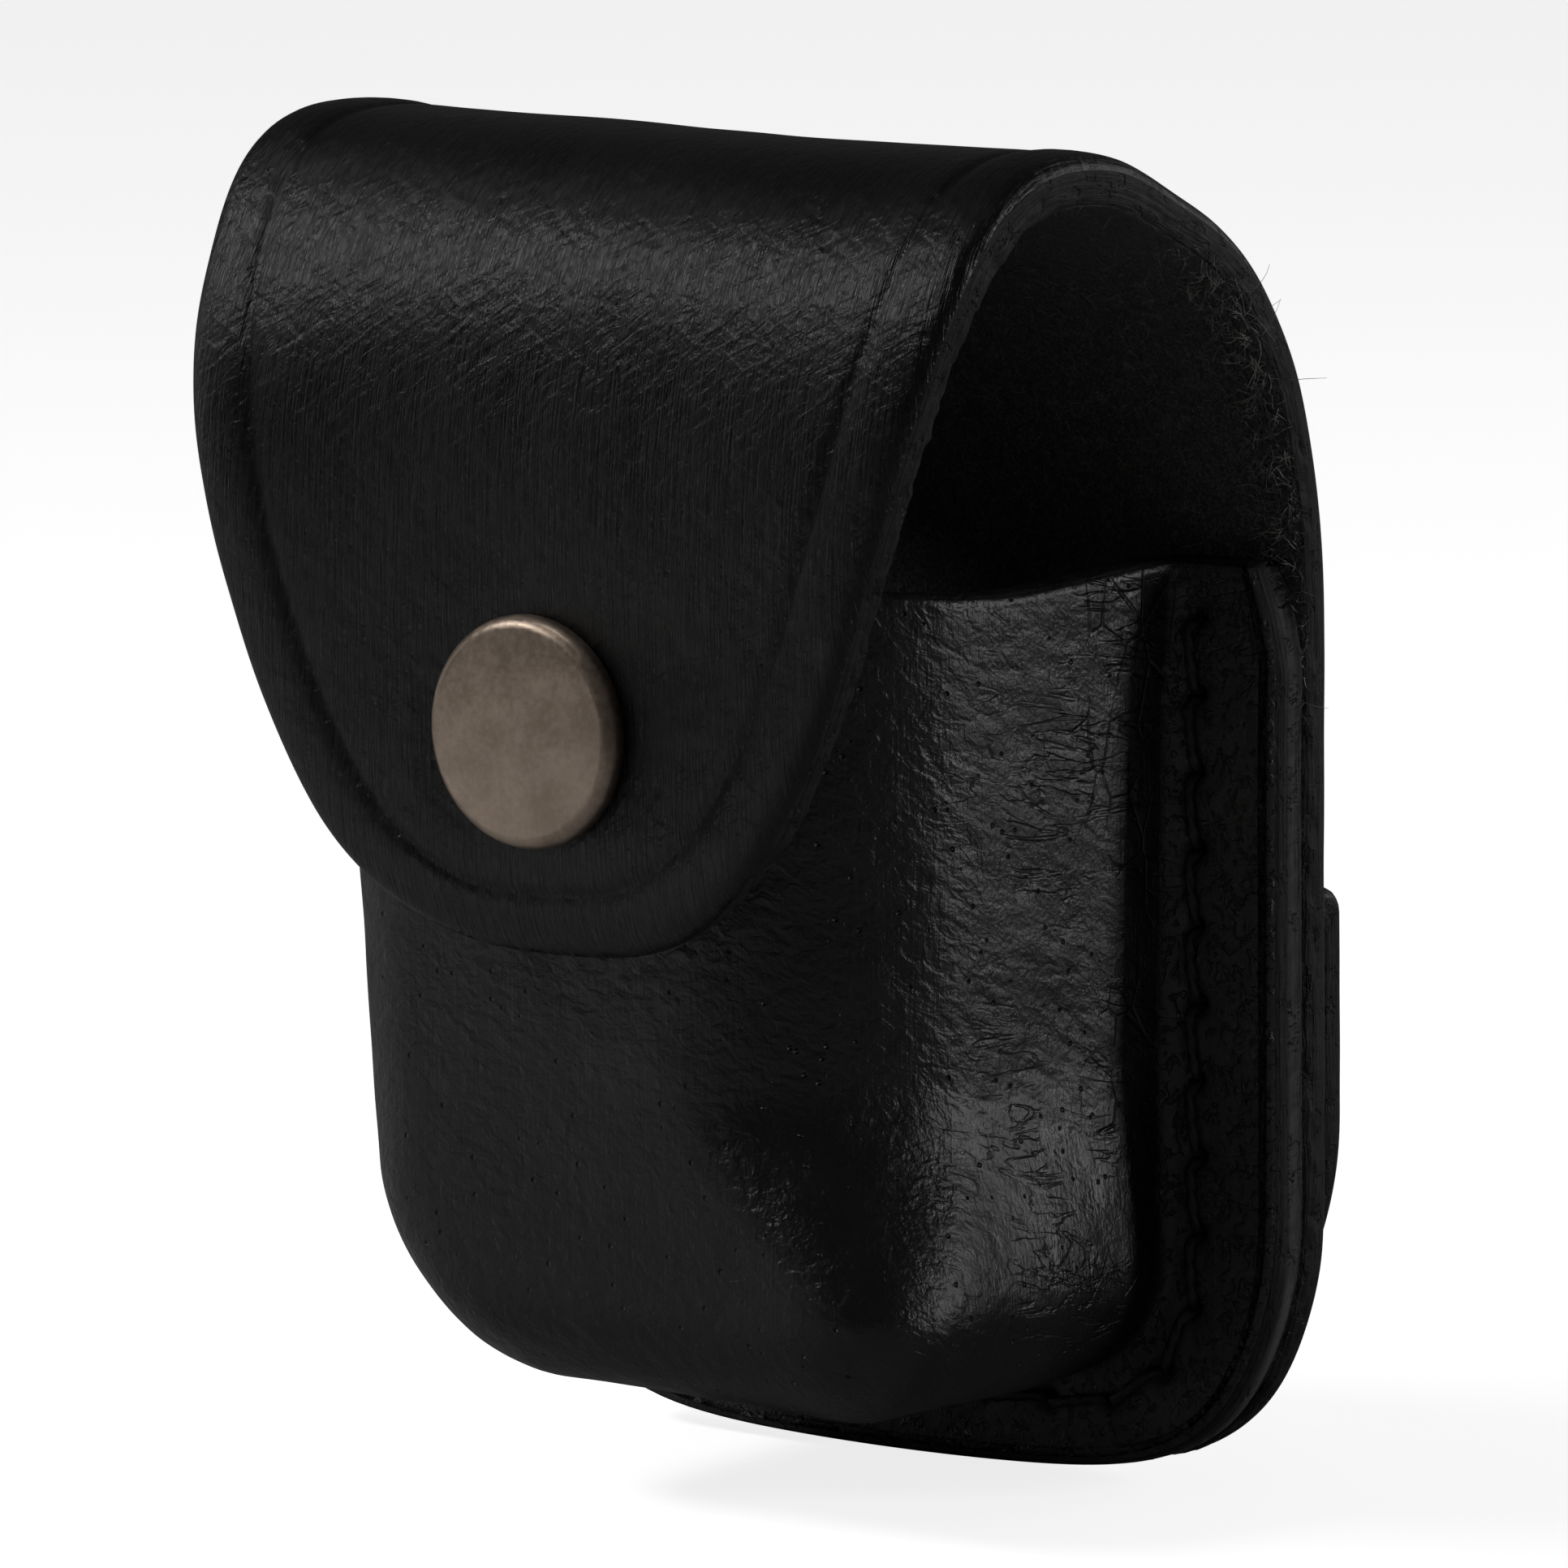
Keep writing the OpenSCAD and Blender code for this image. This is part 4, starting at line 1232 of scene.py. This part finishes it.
# name, place, aim, size, power and spread in degrees
LIGHTS = [
    ("shoulder_light", (-0.50, -0.44, 0.565), MIDDLE, (0.42, 0.13), 2.0, 180),
    ("side_light", (0.665, 0.345, 0.12), MIDDLE, (0.11, 0.42), 1.4, 180),
    ("front_card", (-0.62, -0.85, 0.06), MIDDLE, (0.7, 0.2), 0.04, 180),
    ("floor_front", (-0.20, -0.28, 0.85), (-0.16, -0.22, 0), (0.2, 0.2), 0.3, 28),
    ("floor_side", (0.45, 0.30, 0.9), (0.45, 0.30, 0), (0.3, 0.3), 0.16, 40),
    ("back_light", (0.35, 0.80, 0.30), MIDDLE, (0.5, 0.4), 0.7, 180),
    ("left_light", (-0.82, -0.05, 0.08), MIDDLE, (0.3, 0.3), 0.25, 180),
]


def build_camera():
    az, el, roll = (math.radians(a) for a in (CAMERA_AZIMUTH, CAMERA_ELEVATION, CAMERA_ROLL))
    back = Vector((math.sin(az) * math.cos(el), -math.cos(az) * math.cos(el), math.sin(el)))
    right = Vector((math.cos(az), math.sin(az), 0))
    up = back.cross(right)
    place = Vector(CAMERA_TARGET) + right * CAMERA_SLIDE[0] + up * CAMERA_SLIDE[1]
    place += back * CAMERA_DISTANCE
    c, s = math.cos(roll), math.sin(roll)
    right, up = right * c + up * s, up * c - right * s
    lens = bpy.data.cameras.new("camera")
    lens.sensor_width = 36
    lens.lens = CAMERA_LENS
    lens.clip_start, lens.clip_end = 0.01, 20
    camera = add_object("camera", lens)
    turn = Matrix((right, up, back)).transposed().to_4x4()
    camera.matrix_world = Matrix.Translation(place * MM) @ turn
    bpy.context.scene.camera = camera


def floor_material():
    """A lit white sweep with a soft shadow, but only a dim bounce on the pouch."""
    n = Nodes(bpy.data.materials.new("studio_floor"))
    n.tree.nodes.remove(n.tree.nodes["Principled BSDF"])
    pale = n.put("ShaderNodeBsdfDiffuse", {"Color": (*[FLOOR_WHITE] * 3, 1)}).outputs[0]
    lit = n.put("ShaderNodeEmission", {"Strength": FLOOR_GLOW}).outputs[0]
    white = n.put("ShaderNodeAddShader", {0: pale, 1: lit}).outputs[0]
    dim = n.put("ShaderNodeBsdfDiffuse", {"Color": (*[FLOOR_BOUNCE] * 3, 1)}).outputs[0]
    n.by_ray("Material Output", white, dim)
    return n.owner


def build_floor():
    mesh = bpy.data.meshes.new("floor")
    z = (BOTTOM - FLOOR_GAP) * MM
    mesh.from_pydata([(-4, -4, z), (4, -4, z), (4, 4, z), (-4, 4, z)], [], [(0, 1, 2, 3)])
    mesh.materials.append(floor_material())
    floor = add_object("floor", mesh)


def softbox(name, place, aim, size, power, spread):
    """An area light at place that faces aim, both in metres."""
    light = bpy.data.lights.new(name, "AREA")
    light.shape = "RECTANGLE"
    light.size, light.size_y = size
    light.energy = power
    light.spread = math.radians(spread)
    made = add_object(name, light)
    place, aim = Vector(place), Vector(aim)
    turn = (aim - place).to_track_quat("-Z", "Y").to_matrix().to_4x4()
    made.matrix_world = Matrix.Translation(place) @ turn


def build_light():
    """The softboxes, and a world that looks white but lights the pouch only a little."""
    for light in LIGHTS:
        softbox(*light)
    n = Nodes(bpy.data.worlds.new("studio"))
    fill = n.tree.nodes["Background"]
    n.set(fill.inputs["Color"], (1, 1, 1, 1))
    n.set(fill.inputs["Strength"], WORLD_FILL)
    backdrop = n.put("ShaderNodeBackground", {"Strength": 1.0})
    n.by_ray("World Output", backdrop.outputs[0], fill.outputs[0])
    bpy.context.scene.world = n.owner
    bpy.context.scene.view_settings.view_transform = "Standard"


build_camera()
body = build_body()
build_pocket()
build_belt_loop()
build_threads()
build_press_stud()
fibres = build_fibres()
for piece in (body, fibres):
    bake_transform(piece)
build_floor()
build_light()
